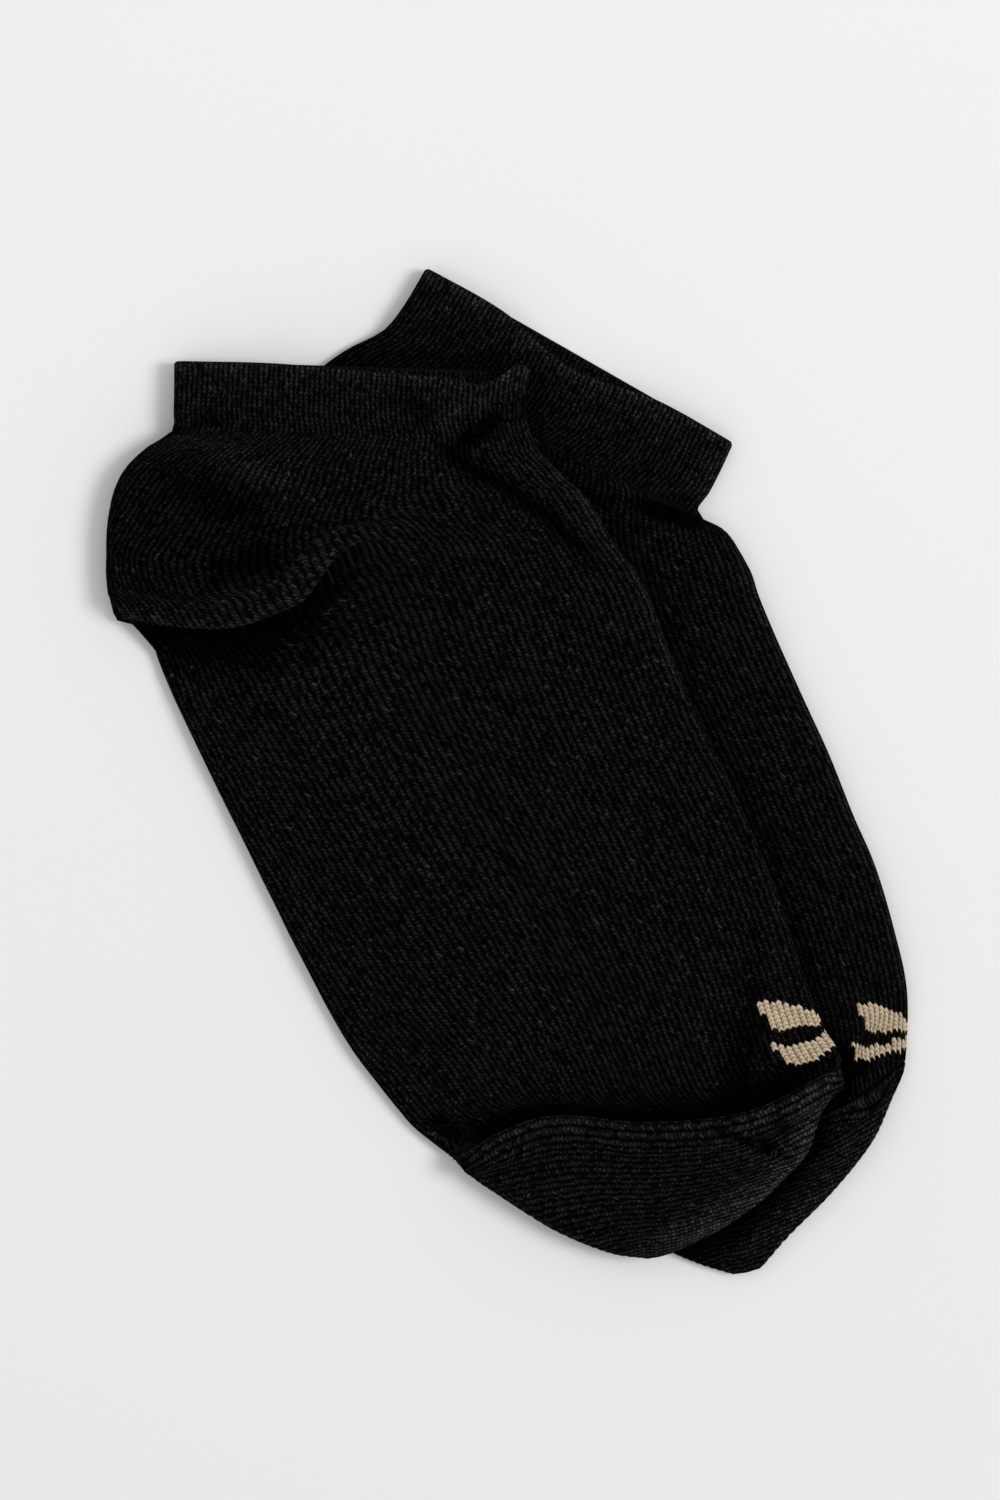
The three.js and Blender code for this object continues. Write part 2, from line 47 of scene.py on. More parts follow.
camera_data = bpy.data.cameras.new("camera")
camera_data.lens = LENS
camera_data.sensor_width = FILM
camera = bpy.data.objects.new("camera", camera_data)
camera.location = (*PICTURE_MIDDLE, PICTURE_HEIGHT * LENS / FILM)
bpy.context.scene.collection.objects.link(camera)
bpy.context.scene.camera = camera
bpy.context.scene.view_settings.view_transform = "Standard"


# The over sock
# One tube of fine black jersey, knitted in one run on 144 needles: a turned welt, a short cuff, a heel
# pocket laid over the foot with its lip, the foot, and a toe pocket whose lip is laid back over the foot.
# It lies in profile, half of its 72 + 72 wales up, and climbs on to its mate.
MM = 0.001                    # all the tables are in millimetres
WALES = 72                    # wales across each side
WALE = 1.33                   # width of one, where the foot lies flat
COURSE = 0.85                 # height of one stitch
STEPS_PER_WALE = 4            # mesh columns to a wale, on the side that shows
WALL = 1.0                    # thickness of the cloth
PRESSED = 2.6                 # both walls pressed flat
CLEARANCE = 0.5               # air between the two socks
CLIMB = 16                    # run over which the over sock climbs on to the under sock
OVERHANG = 2.5                # how far it keeps its height past the under sock's edge
ROUND_SHARE = 0.3             # largest share of a section's width that one side fold takes
FLAT_FOLD = 0.3               # fullness of the cloth below which no lip shows
OPENING_OUT = 0.12            # share of the width past a lip's end over which its cloth sinks back
KEY_SPACING = 3.0             # between the sections that the tables are blended to
ROW_SPACING = 1.5             # between the mesh rows of the foot
ROWS_PER_TOE_WALE = 3         # mesh rows to a wale on the toe pocket, where the wales run across
INNER_SPACING = 6.0           # between the mesh rows of the hollow
SOLID_ROWS = 3                # sections at the toe that have no hollow in them
GAUGED = 24                   # a row's distance to the next is taken at every so many columns
LEAST_GAP = 0.05              # and is no less than this
MERGED_WITHIN = 0.01
RIB_RISE = 0.2                # how proud the wales stand
RIB_BACK = 3                  # how broad their backs are
RIB_FADE = 4                  # wales past the side folds over which they flatten below
WELT_EDGE = 1.4               # width of the painted highlight along the edge of the mouth
WELT_PAINTED_HIGHLIGHT = 1.7             # how much lighter the painted highlight makes it
TOE_OFFSET = 200              # added to the count of the wales that run across the toe pocket
TIP_ROUND = 0.4               # how far the end of the toe rounds out
TIP_ANGLES = (30, 55, 75, 90)     # degrees round it at which its rows lie
TIP_SPACING = 0.6

# The turned-over lip, walked from the overlapping cloth round the lip to the cloth below it. along: how
# far past the lip's line. rise: what it adds to the height. loose: where this cloth lies when it isn't
# folded. dark: painted shade for the light that the fold keeps off, and where negative a painted
# highlight on the overlapping cloth and the lip's rim.
LIP_FOLD = [
    dict(along=-3.4, rise=4.2, loose=-3.6, dark=-0.2),
    dict(along=-1.4, rise=4.1, loose=-2.7, dark=-0.35),
    dict(along=-0.4, rise=3.7, loose=-1.9, dark=-0.8),
    dict(along=0.0, rise=2.75, loose=-1.1, dark=-0.8),
    dict(along=-0.4, rise=1.8, loose=-0.4, dark=0.6),
    dict(along=-1.4, rise=1.55, loose=0.4, dark=0.95),
    dict(along=-4.6, rise=1.25, loose=1.1, dark=0.95),
    dict(along=-5.3, rise=0.75, loose=1.9, dark=0.95),
    dict(along=-4.6, rise=0.1, loose=2.7, dark=0.95),
    dict(along=-0.4, rise=0.0, loose=3.6, dark=0.95),
]

TOE_STEP = LIP_FOLD[4]        # step at which the toe pocket's own stitches begin
HIDDEN = LIP_FOLD[4:9]        # steps that the lip covers
GORE = 30                     # the heel pocket's wales, below which the foot's stitches are counted afresh
LEVELLED = 0.35               # how far each hidden row evens out their counts

# sole, step: ends of the section. dip: how far it bows towards the toe at its quarter points.
# edge: height of the side folds' middle. top: height near the sole, in the middle, near the instep.
# sway: how many wales the knit is pulled over, at the ends and the quarter points.
# dark: how much painted shade darkens it there, on the heel and next to the lips; where negative, on the
# cuff, its tone is painted lighter. fold: which way its lip is turned, over the places across it that
# window gives: where it starts, is full, fades and ends. drift: how far the ends move from the lip's first
# step to its last. lift: the share of the lip's rise, at the ends and the quarter points.
DIP_PLACES = (0, 0.25, 0.5, 0.75, 1)
TOP_PLACES = (0, 0.15, 0.5, 0.85, 1)
EVEN = (0, 0, 0, 0, 0)
OVER_SECTIONS = [
    dict(sole=(-66.4, 81.4), step=(4.4, 79.4), dip=(0, 0.8, 1.6), edge=(3.4, 2.2), top=(5.6, 4.0, 4.6),
         dark=(-0.2, -0.25, -0.2, -0.2, 0)),
    dict(sole=(-66.4, 77.4), step=(3.8, 75.2), dip=(0, 0.6, 1.0), edge=(3.6, 2.2), top=(6.0, 4.4, 4.8),
         dark=(-0.2, -0.25, -0.2, -0.2, 0)),
    dict(sole=(-66.5, 71.4), step=(4.2, 69.4), dip=(0, 0.4, 0.4), edge=(3.6, 2.0), top=(6.4, 4.8, 4.6),
         dark=(-0.1, -0.15, -0.1, -0.1, 0)),
    dict(sole=(-66.8, 68.0), step=(5.4, 66.0), dip=(0, 0, 0), edge=(3.8, 2.0), top=(6.6, 5.0, 4.6)),
    dict(sole=(-71.4, 65.0), step=(6.8, 63.4), dip=(0, 0, 0), edge=(4.0, 2.0), top=(7.0, 5.0, 4.6),
         sway=(-1, -1, 0, 0, 0)),
    dict(sole=(-75.6, 61.2), step=(8.8, 61.4), dip=(0.4, 0.4, 0), edge=(4.0, 2.0), top=(7.2, 4.8, 4.6),
         sway=(-2.5, -2.5, -0.5, 0, 0)),
    dict(sole=(-78.4, 56.0), step=(10.8, 59.6), dip=(1.6, 2.0, 0), edge=(4.0, 2.0), top=(7.2, 4.6, 4.6),
         sway=(-4, -4, -1.5, 0, 0), dark=(0.1, 0.2, 0.1, 0, 0)),
    dict(sole=(-79.8, 48.4), step=(12.6, 57.6), dip=(4.0, 2.0, -1.0), edge=(4.0, 2.0), top=(7.0, 4.6, 4.6),
         sway=(-5, -7.5, -4, 0, 0), dark=(0.2, 0.3, 0.2, 0, 0)),
    dict(sole=(-79.9, 43.4), step=(14.6, 56.2), dip=(4.8, 1.0, -1.8), edge=(4.0, 2.0), top=(6.8, 4.8, 4.6),
         sway=(-5, -10, -5, 0, 0), dark=(0.2, 0.3, 0.2, 0, 0)),
    dict(sole=(-79.8, 37.0), step=(16.4, 53.8), dip=(5.6, -3.0, -2.6), edge=(3.8, 2.0), top=(6.8, 5.0, 4.6),
         sway=(-5, -9, -4.5, 0, 0), dark=(0.1, 0.2, 0.1, 0, 0)),
    dict(sole=(-77.8, 30.2), step=(18.4, 50.8), dip=(5.2, -6.2, -3.6), edge=(2.8, 2.0), top=(2.8, 3.6, 4.5),
         fold="down", drift=(6.2, -1.6, 1.8, -3.6), window=(0, 0.05, 0.42, 0.57),
         lift=(1, 0.85, 0.4, 0, 0), sway=(-5, -7.5, -3, 0, 0)),
    dict(sole=(-69.9, 23.0), step=(23.4, 43.0), dip=(5.0, -5.4, -2.6), edge=(1.5, 1.8), top=(2.8, 3.2, 4.4),
         sway=(-5, -6.5, -2.5, 0, 0), dark=(0.5, 0.6, 0.3, 0, 0)),
    dict(sole=(-67.4, 16.8), step=(26.4, 38.6), dip=(3.6, -2.0, -1.2), edge=(1.4, 1.6), top=(3.6, 3.2, 4.2),
         sway=(-5, -6, -2, 0, 0)),
    dict(sole=(-65.8, 13.2), step=(28.6, 34.2), dip=(2.0, 0, 0), edge=(1.3, 1.5), top=(4.2, 3.2, 4.0),
         sway=(-5, -6, -2, 0, 0)),
    dict(sole=(-59.9, 0.8), step=(32.9, 22.4), dip=(0.8, 0, 0), edge=(1.3, 1.4), top=(4.4, 3.2, 3.8),
         sway=(-4.5, -5, -1.5, 0, 0)),
    dict(sole=(-51.8, -15.6), step=(39.0, 8.4), dip=(0, 0, 0), edge=(1.3, 1.4), top=(4.4, 3.2, 3.6),
         sway=(-3.5, -4, -1, 0, 0)),
    dict(sole=(-41.4, -36.6), step=(45.1, -3.6), dip=(0, 0, 0), edge=(1.3, 1.4), top=(4.2, 3.2, 3.6),
         sway=(-2, -2.5, -0.5, 0, 0)),
    dict(sole=(-32.2, -53.6), step=(50.9, -16.6), dip=(0, 0.6, 0.6), edge=(1.3, 1.4), top=(4.0, 3.2, 3.6),
         sway=(-1, -1, 0, 0, 0)),
    dict(sole=(-25.6, -62.6), step=(55.4, -28.8), dip=(0, 1.4, 1.8), edge=(1.4, 1.4), top=(3.8, 3.2, 3.6)),
    dict(sole=(-21.6, -67.6), step=(59.4, -41.0), dip=(-0.6, 2.6, 4.0), edge=(1.5, 1.4),
         top=(3.4, 3.0, 3.6)),
    dict(sole=(-18.4, -71.2), step=(62.6, -49.6), dip=(-0.8, 3.6, 5.6), edge=(1.5, 1.5), top=(3.0, 2.8, 3.2),
         dark=(0.2, 0.15, 0.15, 0.1, 0.3)),
    dict(sole=(-12.8, -75.6), step=(66.6, -57.4), dip=(-3.6, 2.2, 4.6), edge=(1.8, 1.8), top=(2.8, 2.8, 2.9),
         fold="up", drift=(1.8, -1.4, -0.2, -1.0), window=(0.03, 0.12, 0.95, 0.995)),
    dict(sole=(-6.6, -81.2), step=(63.0, -66.8), dip=(-0.6, 3.4, 4.8), edge=(2.2, 2.2), top=(6.6, 6.8, 5.6)),
    dict(sole=(-2.4, -84.0), step=(61.4, -71.8), dip=(0, 2.8, 3.4), edge=(2.4, 2.4), top=(6.4, 6.8, 5.6)),
    dict(sole=(1.2, -86.4), step=(59.8, -76.0), dip=(0, 2.0, 2.0), edge=(2.2, 2.4), top=(6.0, 6.6, 5.6)),
    dict(sole=(8.6, -91.0), step=(55.6, -80.6), dip=(0, 1.6, 1.0), edge=(2.0, 2.2), top=(5.2, 5.8, 5.2)),
    dict(sole=(15.6, -94.2), step=(50.0, -86.0), dip=(0, 1.0, 0.6), edge=(1.8, 2.0), top=(4.4, 4.8, 4.6)),
    dict(sole=(21.8, -96.2), step=(41.6, -91.6), dip=(0, 0.6, 0.2), edge=(1.6, 1.8), top=(3.4, 3.8, 3.6)),
    dict(sole=(27.4, -96.9), step=(33.8, -95.4), dip=(0, 0.1, 0), edge=(1.4, 1.5), top=(2.7, 2.8, 2.8)),
]

# The mate's sections stand here too, because this sock climbs on to them
UNDER_SECTIONS = [
    dict(sole=(-16.4, 100.2), step=(45.0, 65.2), dip=(0, 3.0, 0.2), edge=(2.6, 1.6), top=(4.6, 4.4, 4.2)),
    dict(sole=(-20.4, 93.4), step=(42.8, 60.4), dip=(0, 2.0, 0), edge=(2.8, 1.8), top=(5.0, 4.4, 4.4)),
    dict(sole=(-24.4, 88.4), step=(40.2, 55.4), dip=(0, 1.2, 0), edge=(2.6, 1.8), top=(4.8, 4.2, 4.6)),
    dict(sole=(-28.8, 86.0), step=(38.3, 53.0), dip=(0, 0.6, 0), edge=(2.2, 1.6), top=(4.2, 3.8, 4.0)),
    dict(sole=(-30.6, 85.2), step=(37.9, 51.2), dip=(0, 0, 0), edge=(2.0, 1.4), top=(4.2, 3.8, 2.7)),
    dict(sole=(-33.6, 83.4), step=(42.8, 48.8), dip=(0, 0, 0), edge=(2.0, 1.4), top=(4.2, 3.8, 3.2)),
    dict(sole=(-37.6, 80.4), step=(44.8, 46.8), dip=(0, 0, 0), edge=(1.8, 1.4), top=(4.0, 3.6, 3.8)),
    dict(sole=(-44.4, 73.4), step=(46.2, 44.6), dip=(0, 0, 0), edge=(1.3, 1.5), top=(2.6, 3.0, 4.4)),
    dict(sole=(-48.6, 64.4), step=(47.6, 42.2), dip=(0, 0, 0), edge=(1.3, 1.5), top=(2.6, 2.8, 4.6)),
    dict(sole=(-49.8, 54.4), step=(49.0, 39.4), dip=(0, 0, 0), edge=(1.3, 1.5), top=(2.6, 2.6, 4.6)),
    dict(sole=(-47.8, 42.4), step=(50.4, 35.0), dip=(0, 0, 0), edge=(1.3, 1.5), top=(2.6, 2.6, 4.6)),
    dict(sole=(-43.4, 26.4), step=(54.0, 26.4), dip=(0, 0, 0), edge=(1.3, 1.5), top=(2.6, 2.6, 4.4)),
    dict(sole=(-34.4, 5.4), step=(59.2, 14.8), dip=(0, 0, 0), edge=(1.3, 1.4), top=(2.6, 2.6, 4.2)),
    dict(sole=(-24.4, -16.6), step=(64.6, 3.0), dip=(0, 0, 0), edge=(1.3, 1.4), top=(2.6, 2.6, 4.2)),
    dict(sole=(-15.4, -35.6), step=(69.2, -8.6), dip=(0, 0, 0), edge=(1.3, 1.4), top=(2.6, 2.6, 4.2)),
    dict(sole=(-7.4, -51.6), step=(73.6, -18.8), dip=(0, 0, 0.6), edge=(1.3, 1.4), top=(2.6, 2.6, 4.2)),
    dict(sole=(-0.4, -64.6), step=(77.4, -31.6), dip=(0, 1.0, 2.4), edge=(1.3, 1.4), top=(2.6, 2.6, 4.0)),
    dict(sole=(4.6, -71.6), step=(79.9, -43.4), dip=(0, 2.6, 5.0), edge=(1.3, 1.5), top=(2.6, 2.6, 3.6)),
    dict(sole=(9.6, -77.6), step=(79.7, -56.4), dip=(0, 3.6, 5.4), edge=(1.3, 1.6), top=(2.6, 2.6, 2.8),
         fold="up", drift=(1.6, -1.2, -0.2, -2.4), window=(0.5, 0.66, 0.76, 0.86)),
    dict(sole=(15.6, -82.4), step=(76.6, -66.0), dip=(0, 3.0, 4.2), edge=(1.3, 2.0), top=(2.6, 2.8, 5.4)),
    dict(sole=(20.6, -86.8), step=(73.8, -72.4), dip=(0, 2.4, 3.0), edge=(1.3, 2.2), top=(2.6, 3.2, 5.4)),
    dict(sole=(25.6, -91.2), step=(69.8, -78.2), dip=(0, 1.6, 1.4), edge=(1.3, 2.2), top=(2.6, 3.8, 5.2)),
    dict(sole=(32.2, -95.6), step=(63.8, -85.2), dip=(0, 1.0, 0.6), edge=(1.4, 2.0), top=(2.8, 4.2, 4.8)),
    dict(sole=(38.6, -98.4), step=(56.6, -92.4), dip=(0, 0.6, 0.2), edge=(1.4, 1.7), top=(2.9, 3.8, 4.0)),
    dict(sole=(44.6, -100.2), step=(51.0, -98.8), dip=(0, 0.1, 0), edge=(1.4, 1.5), top=(2.7, 2.8, 2.8)),
]

# Soft ridges and troughs: the middle, how the length is turned, half its length and width, its rise
OVER_CREASES = [
    dict(at=(1.0, 77.0), turn=25, long=4.5, wide=3.4, rise=2.2),
    dict(at=(-1.6, 65.6), turn=-42, long=7, wide=4.0, rise=1.6),
    dict(at=(6.4, 58.6), turn=-42, long=8, wide=4.2, rise=1.8),
    dict(at=(14.4, 50.0), turn=-50, long=9, wide=3.6, rise=1.4),
    dict(at=(-9.4, 62.4), turn=-38, long=6, wide=3.0, rise=-1.3),
    dict(at=(-0.6, 56.6), turn=-33, long=7, wide=3.2, rise=-1.2),
    dict(at=(9.0, 49.6), turn=-42, long=7, wide=3.0, rise=-1.0),
    dict(at=(-49.4, 46.2), turn=60, long=9, wide=5.5, rise=-2.2),
    dict(at=(-60.0, 65.6), turn=12, long=6, wide=3.2, rise=-0.8),
    dict(at=(42.0, -44.0), turn=-60, long=16, wide=9, rise=0.6),
]

# Finer folds, each along a path: its half-widths to the left and right of the path, its rise, and the
# painted shade that darkens its cloth, a painted highlight where negative. One of more than two points
# begins and runs out over these shares of it.
FOLD_BEGINS = (-0.1, 0.25)
FOLD_RUNS_OUT = (0.75, 1.1)
FOLD_FELT = 2.5               # half-widths away from its path that a fold is felt
OVER_FOLDS = [
    # the valley behind the rolled instep, darkened with painted shade, the roll, and the bright edge below
    # it, a low ridge with a painted highlight
    dict(path=((-15.2, 68.2), (-12.4, 64.4), (-7.8, 60.8), (-3.2, 58.4), (1.8, 55.6), (6.0, 52.6),
               (9.4, 50.0), (13.4, 45.4), (19.0, 40.0)),
         wide=(1.2, 1.9), rise=-1.6, shade=0.95),
    dict(path=((-6.4, 67.4), (-1.0, 63.4), (3.6, 59.4), (8.2, 55.4), (12.6, 51.4), (17.0, 46.4),
               (21.6, 40.4)),
         wide=(3.0, 2.6), rise=1.0, shade=-0.2),
    dict(path=((4.2, 67.2), (8.0, 62.0), (14.4, 55.6), (20.6, 47.4), (26.4, 37.6), (30.8, 26.0),
               (36.0, 15.0), (42.6, 2.8), (49.8, -13.0)),
         wide=(1.6, 1.3), rise=0.4, shade=-0.8),
    # the curled corner of the mouth, with a painted highlight, and the hollow under it, darkened with
    # painted shade
    dict(path=((-17.0, 64.6), (-13.4, 68.2), (-9.6, 71.2), (-6.2, 73.8), (-2.6, 76.0), (1.2, 78.4),
               (5.6, 80.0)),
         wide=(2.6, 1.5), rise=3.0, shade=-1.1),
    dict(path=((-11.0, 64.8), (-7.2, 67.0), (-4.0, 69.4), (-0.6, 71.4), (2.6, 72.8), (5.6, 73.4)),
         wide=(1.0, 1.4), rise=-2.4, shade=1.8),
    dict(path=((-22.0, 76.0), (-18.4, 72.6), (-15.8, 69.0)), wide=(2.0, 2.0), rise=-0.9, shade=0.55),
    # under the cuff at the heel: a crease darkened with painted shade and a ridge with a painted highlight
    dict(path=((-69.0, 67.0), (-65.0, 68.2), (-60.6, 68.8), (-55.0, 70.0)),
         wide=(0.7, 0.9), rise=-0.9, shade=1.1),
    dict(path=((-70.0, 65.0), (-65.0, 66.8), (-60.0, 66.6), (-54.0, 62.6), (-48.0, 58.6), (-39.0, 55.6)),
         wide=(1.2, 1.8), rise=0.5, shade=-0.8),
    # the heel: painted shade in its hollow and in the crease behind its rim
    dict(path=((-72.0, 60.6), (-63.0, 57.6), (-55.0, 53.6), (-46.0, 51.0)),
         wide=(3.4, 4.6), rise=-0.9, shade=0.5),
    dict(path=((-60.0, 39.6), (-53.0, 41.2), (-46.0, 44.8)), wide=(3.4, 2.2), rise=-1.5, shade=0.6),
    dict(path=((-76.0, 36.4), (-66.0, 36.2), (-57.0, 37.2), (-49.0, 40.2), (-42.0, 44.8), (-36.4, 50.0)),
         wide=(1.6, 1.0), rise=-0.7, shade=0.25),
    # the toe, with painted shade in its hollows and painted highlights on its ridges: the valley beside the
    # bars, the flap at the instep and the dimple in it, the pinch at the sole, the rounded edge's painted
    # highlight
    dict(path=((50.0, -36.0), (49.4, -44.0), (48.4, -52.0), (47.0, -60.0), (43.4, -68.0)),
         wide=(2.4, 4.2), rise=-0.5, shade=0.65),
    dict(path=((37.6, -69.0), (43.6, -67.4), (49.0, -64.8), (54.0, -62.2), (60.0, -58.6)),
         wide=(2.2, 1.2), rise=-0.6, shade=0.3),
    dict(path=((40.0, -72.4), (46.4, -70.6), (53.6, -66.8), (60.0, -63.2), (65.0, -59.4)),
         wide=(1.2, 2.4), rise=0.7, shade=-1.0),
    dict(path=((40.0, -71.0), (46.0, -72.4), (50.6, -74.2), (56.4, -77.4)),
         wide=(1.4, 1.2), rise=-1.6, shade=1.5),
    dict(path=((41.0, -73.6), (47.0, -75.0), (52.0, -77.2), (55.0, -79.8)),
         wide=(1.2, 1.6), rise=0.8, shade=-0.5),
    dict(path=((53.2, -69.4), (55.0, -70.6)), wide=(1.3, 1.3), rise=-1.4, shade=1.2),
    dict(path=((-13.4, -69.6), (-11.0, -72.0)), wide=(1.7, 1.7), rise=-1.2, shade=1.2),
    dict(path=((64.8, -60.0), (62.0, -68.0), (58.8, -76.2), (52.6, -83.2), (45.0, -88.6), (37.0, -92.8),
               (27.0, -95.8)),
         wide=(2.0, 3.6), rise=0.0, shade=-3.2),
    dict(path=((-12.0, -77.0), (-3.0, -84.0), (8.0, -91.0), (18.0, -95.4), (27.0, -96.4)),
         wide=(1.6, 1.6), rise=0.0, shade=-0.4),
]

# Places where the cloth is pushed aside: the middle, how far it is felt, and the push
OVER_PUSHES = [
    dict(at=(-41.6, 38.0), reach=6.5, push=(0.6, -2.6)),
    dict(at=(-5.4, 78.4), reach=4.4, push=(0, -2.0)),
    dict(at=(1.8, 79.4), reach=2.4, push=(0.4, 1.4)),
]
PINCHED = 2.3                 # least height of both walls where a fold is pressed in
STEEP = 0.5                   # upward share of a wall's normal below which the folds fade
UNEVEN = 0.22                 # how far the cloth wanders up and down
UNEVEN_PLACES = 0.11          # and how quickly, for each millimetre
FINER_PLACES = 3              # how much quicker it wanders again
FINER_SHARE = 0.5             # and by what share


def smooth(low, high, value):
    share = min(max((value - low) / (high - low), 0), 1)
    return share * share * (3 - 2 * share)


def lerp(a, b, share):
    return a + (b - a) * share


def through(places, values, at):
    """A smooth curve through values given at uneven places."""
    last = len(places) - 1
    i = 0
    while i < last - 1 and at > places[i + 1]:
        i += 1

    def slope(k):
        before = max(k - 1, 0)
        after = min(k + 1, last)
        return (values[after] - values[before]) / (places[after] - places[before])

    span = places[i + 1] - places[i]
    t = (at - places[i]) / span
    t2, t3 = t * t, t * t * t
    return ((2 * t3 - 3 * t2 + 1) * values[i] + (t3 - 2 * t2 + t) * span * slope(i)
            + (3 * t2 - 2 * t3) * values[i + 1] + (t3 - t2) * span * slope(i + 1))


def window_at(window, across):
    start, full, fade, end = window
    rising = smooth(start, full, across) if full > start else 1
    return rising * (1 - smooth(fade, end, across))


def unfold(section):
    """A turned-over lip's section as one section for each step of the fold."""
    down = section["fold"] == "down"
    steps = LIP_FOLD if down else LIP_FOLD[::-1]
    sole_x, sole_y, step_x, step_y = section["drift"]
    rows = []
    for i, step in enumerate(steps):
        share = i / (len(steps) - 1)
        row = dict(section)
        row["sole"] = (section["sole"][0] + sole_x * share, section["sole"][1] + sole_y * share)
        row["step"] = (section["step"][0] + step_x * share, section["step"][1] + step_y * share)
        row["turn"] = 1 if down else -1
        row["crease"] = step
        rows.append(row)
    return rows


def fill_in(sections, spacing):
    """Sections added between those that lie far apart, on smooth curves through the table."""
    sections = [dict(dict(sway=EVEN, dark=EVEN), **section) for section in sections]
    places = [0]
    for before, section in zip(sections, sections[1:]):
        places.append(places[-1] + (math.dist(section["sole"], before["sole"])
                                    + math.dist(section["step"], before["step"])) / 2)
    rows = []
    for k, section in enumerate(sections):
        rows.append(section)
        if k + 1 == len(sections) or "crease" in section or "crease" in sections[k + 1]:
            continue
        parts = math.ceil((places[k + 1] - places[k]) / spacing)
        for part in range(1, parts):
            at = lerp(places[k], places[k + 1], part / parts)
            rows.append({key: tuple(through(places, [row[key][i] for row in sections], at)
                                    for i in range(len(section[key])))
                         for key in ("sole", "step", "dip", "edge", "top", "sway", "dark")})
    return rows


def outline_of(sections):
    return [row["sole"] for row in sections] + [row["step"] for row in reversed(sections)]


def distance_to(outline, x, y):
    """Distance from a point to an outline, negative inside it."""
    nearest = math.inf
    inside = False
    for (x1, y1), (x2, y2) in zip(outline, outline[1:] + outline[:1]):
        dx, dy = x2 - x1, y2 - y1
        run = dx * dx + dy * dy or 1
        share = min(max(((x - x1) * dx + (y - y1) * dy) / run, 0), 1)
        nearest = min(nearest, math.hypot(x - x1 - dx * share, y - y1 - dy * share))
        if (y1 > y) != (y2 > y) and x < x1 + dx * (y - y1) / dy:
            inside = not inside
    return -nearest if inside else nearest


def creased_by(creases, x, y):
    rise = 0
    for crease in creases:
        angle = math.radians(crease["turn"])
        dx, dy = x - crease["at"][0], y - crease["at"][1]
        along = dx * math.cos(angle) + dy * math.sin(angle)
        across = dy * math.cos(angle) - dx * math.sin(angle)
        rise += crease["rise"] * math.exp(-(along / crease["long"]) ** 2 - (across / crease["wide"]) ** 2)
    return rise


def folded_by(folds, x, y):
    """The rise of the finer folds at a place, and their painted shade, a painted highlight where negative.
    """
    rise = shade = 0
    for fold in folds:
        path, wide = fold["path"], fold["wide"]
        reach = FOLD_FELT * max(wide)
        if not (min(p[0] for p in path) - reach < x < max(p[0] for p in path) + reach
                and min(p[1] for p in path) - reach < y < max(p[1] for p in path) + reach):
            continue
        nearest, side, place = math.inf, 0, 0
        for i, ((x1, y1), (x2, y2)) in enumerate(zip(path, path[1:])):
            dx, dy = x2 - x1, y2 - y1
            share = min(max(((x - x1) * dx + (y - y1) * dy) / (dx * dx + dy * dy), 0), 1)
            away = math.hypot(x - x1 - dx * share, y - y1 - dy * share)
            if away < nearest:
                nearest = away
                side = dx * (y - y1) - dy * (x - x1)
                place = (i + share) / (len(path) - 1)
        ends = smooth(*FOLD_BEGINS, place) * (1 - smooth(*FOLD_RUNS_OUT, place)) if len(path) > 2 else 1
        felt = ends * math.exp(-(nearest / wide[0 if side > 0 else 1]) ** 2)
        rise += fold["rise"] * felt
        shade += fold["shade"] * felt
    return rise, shade


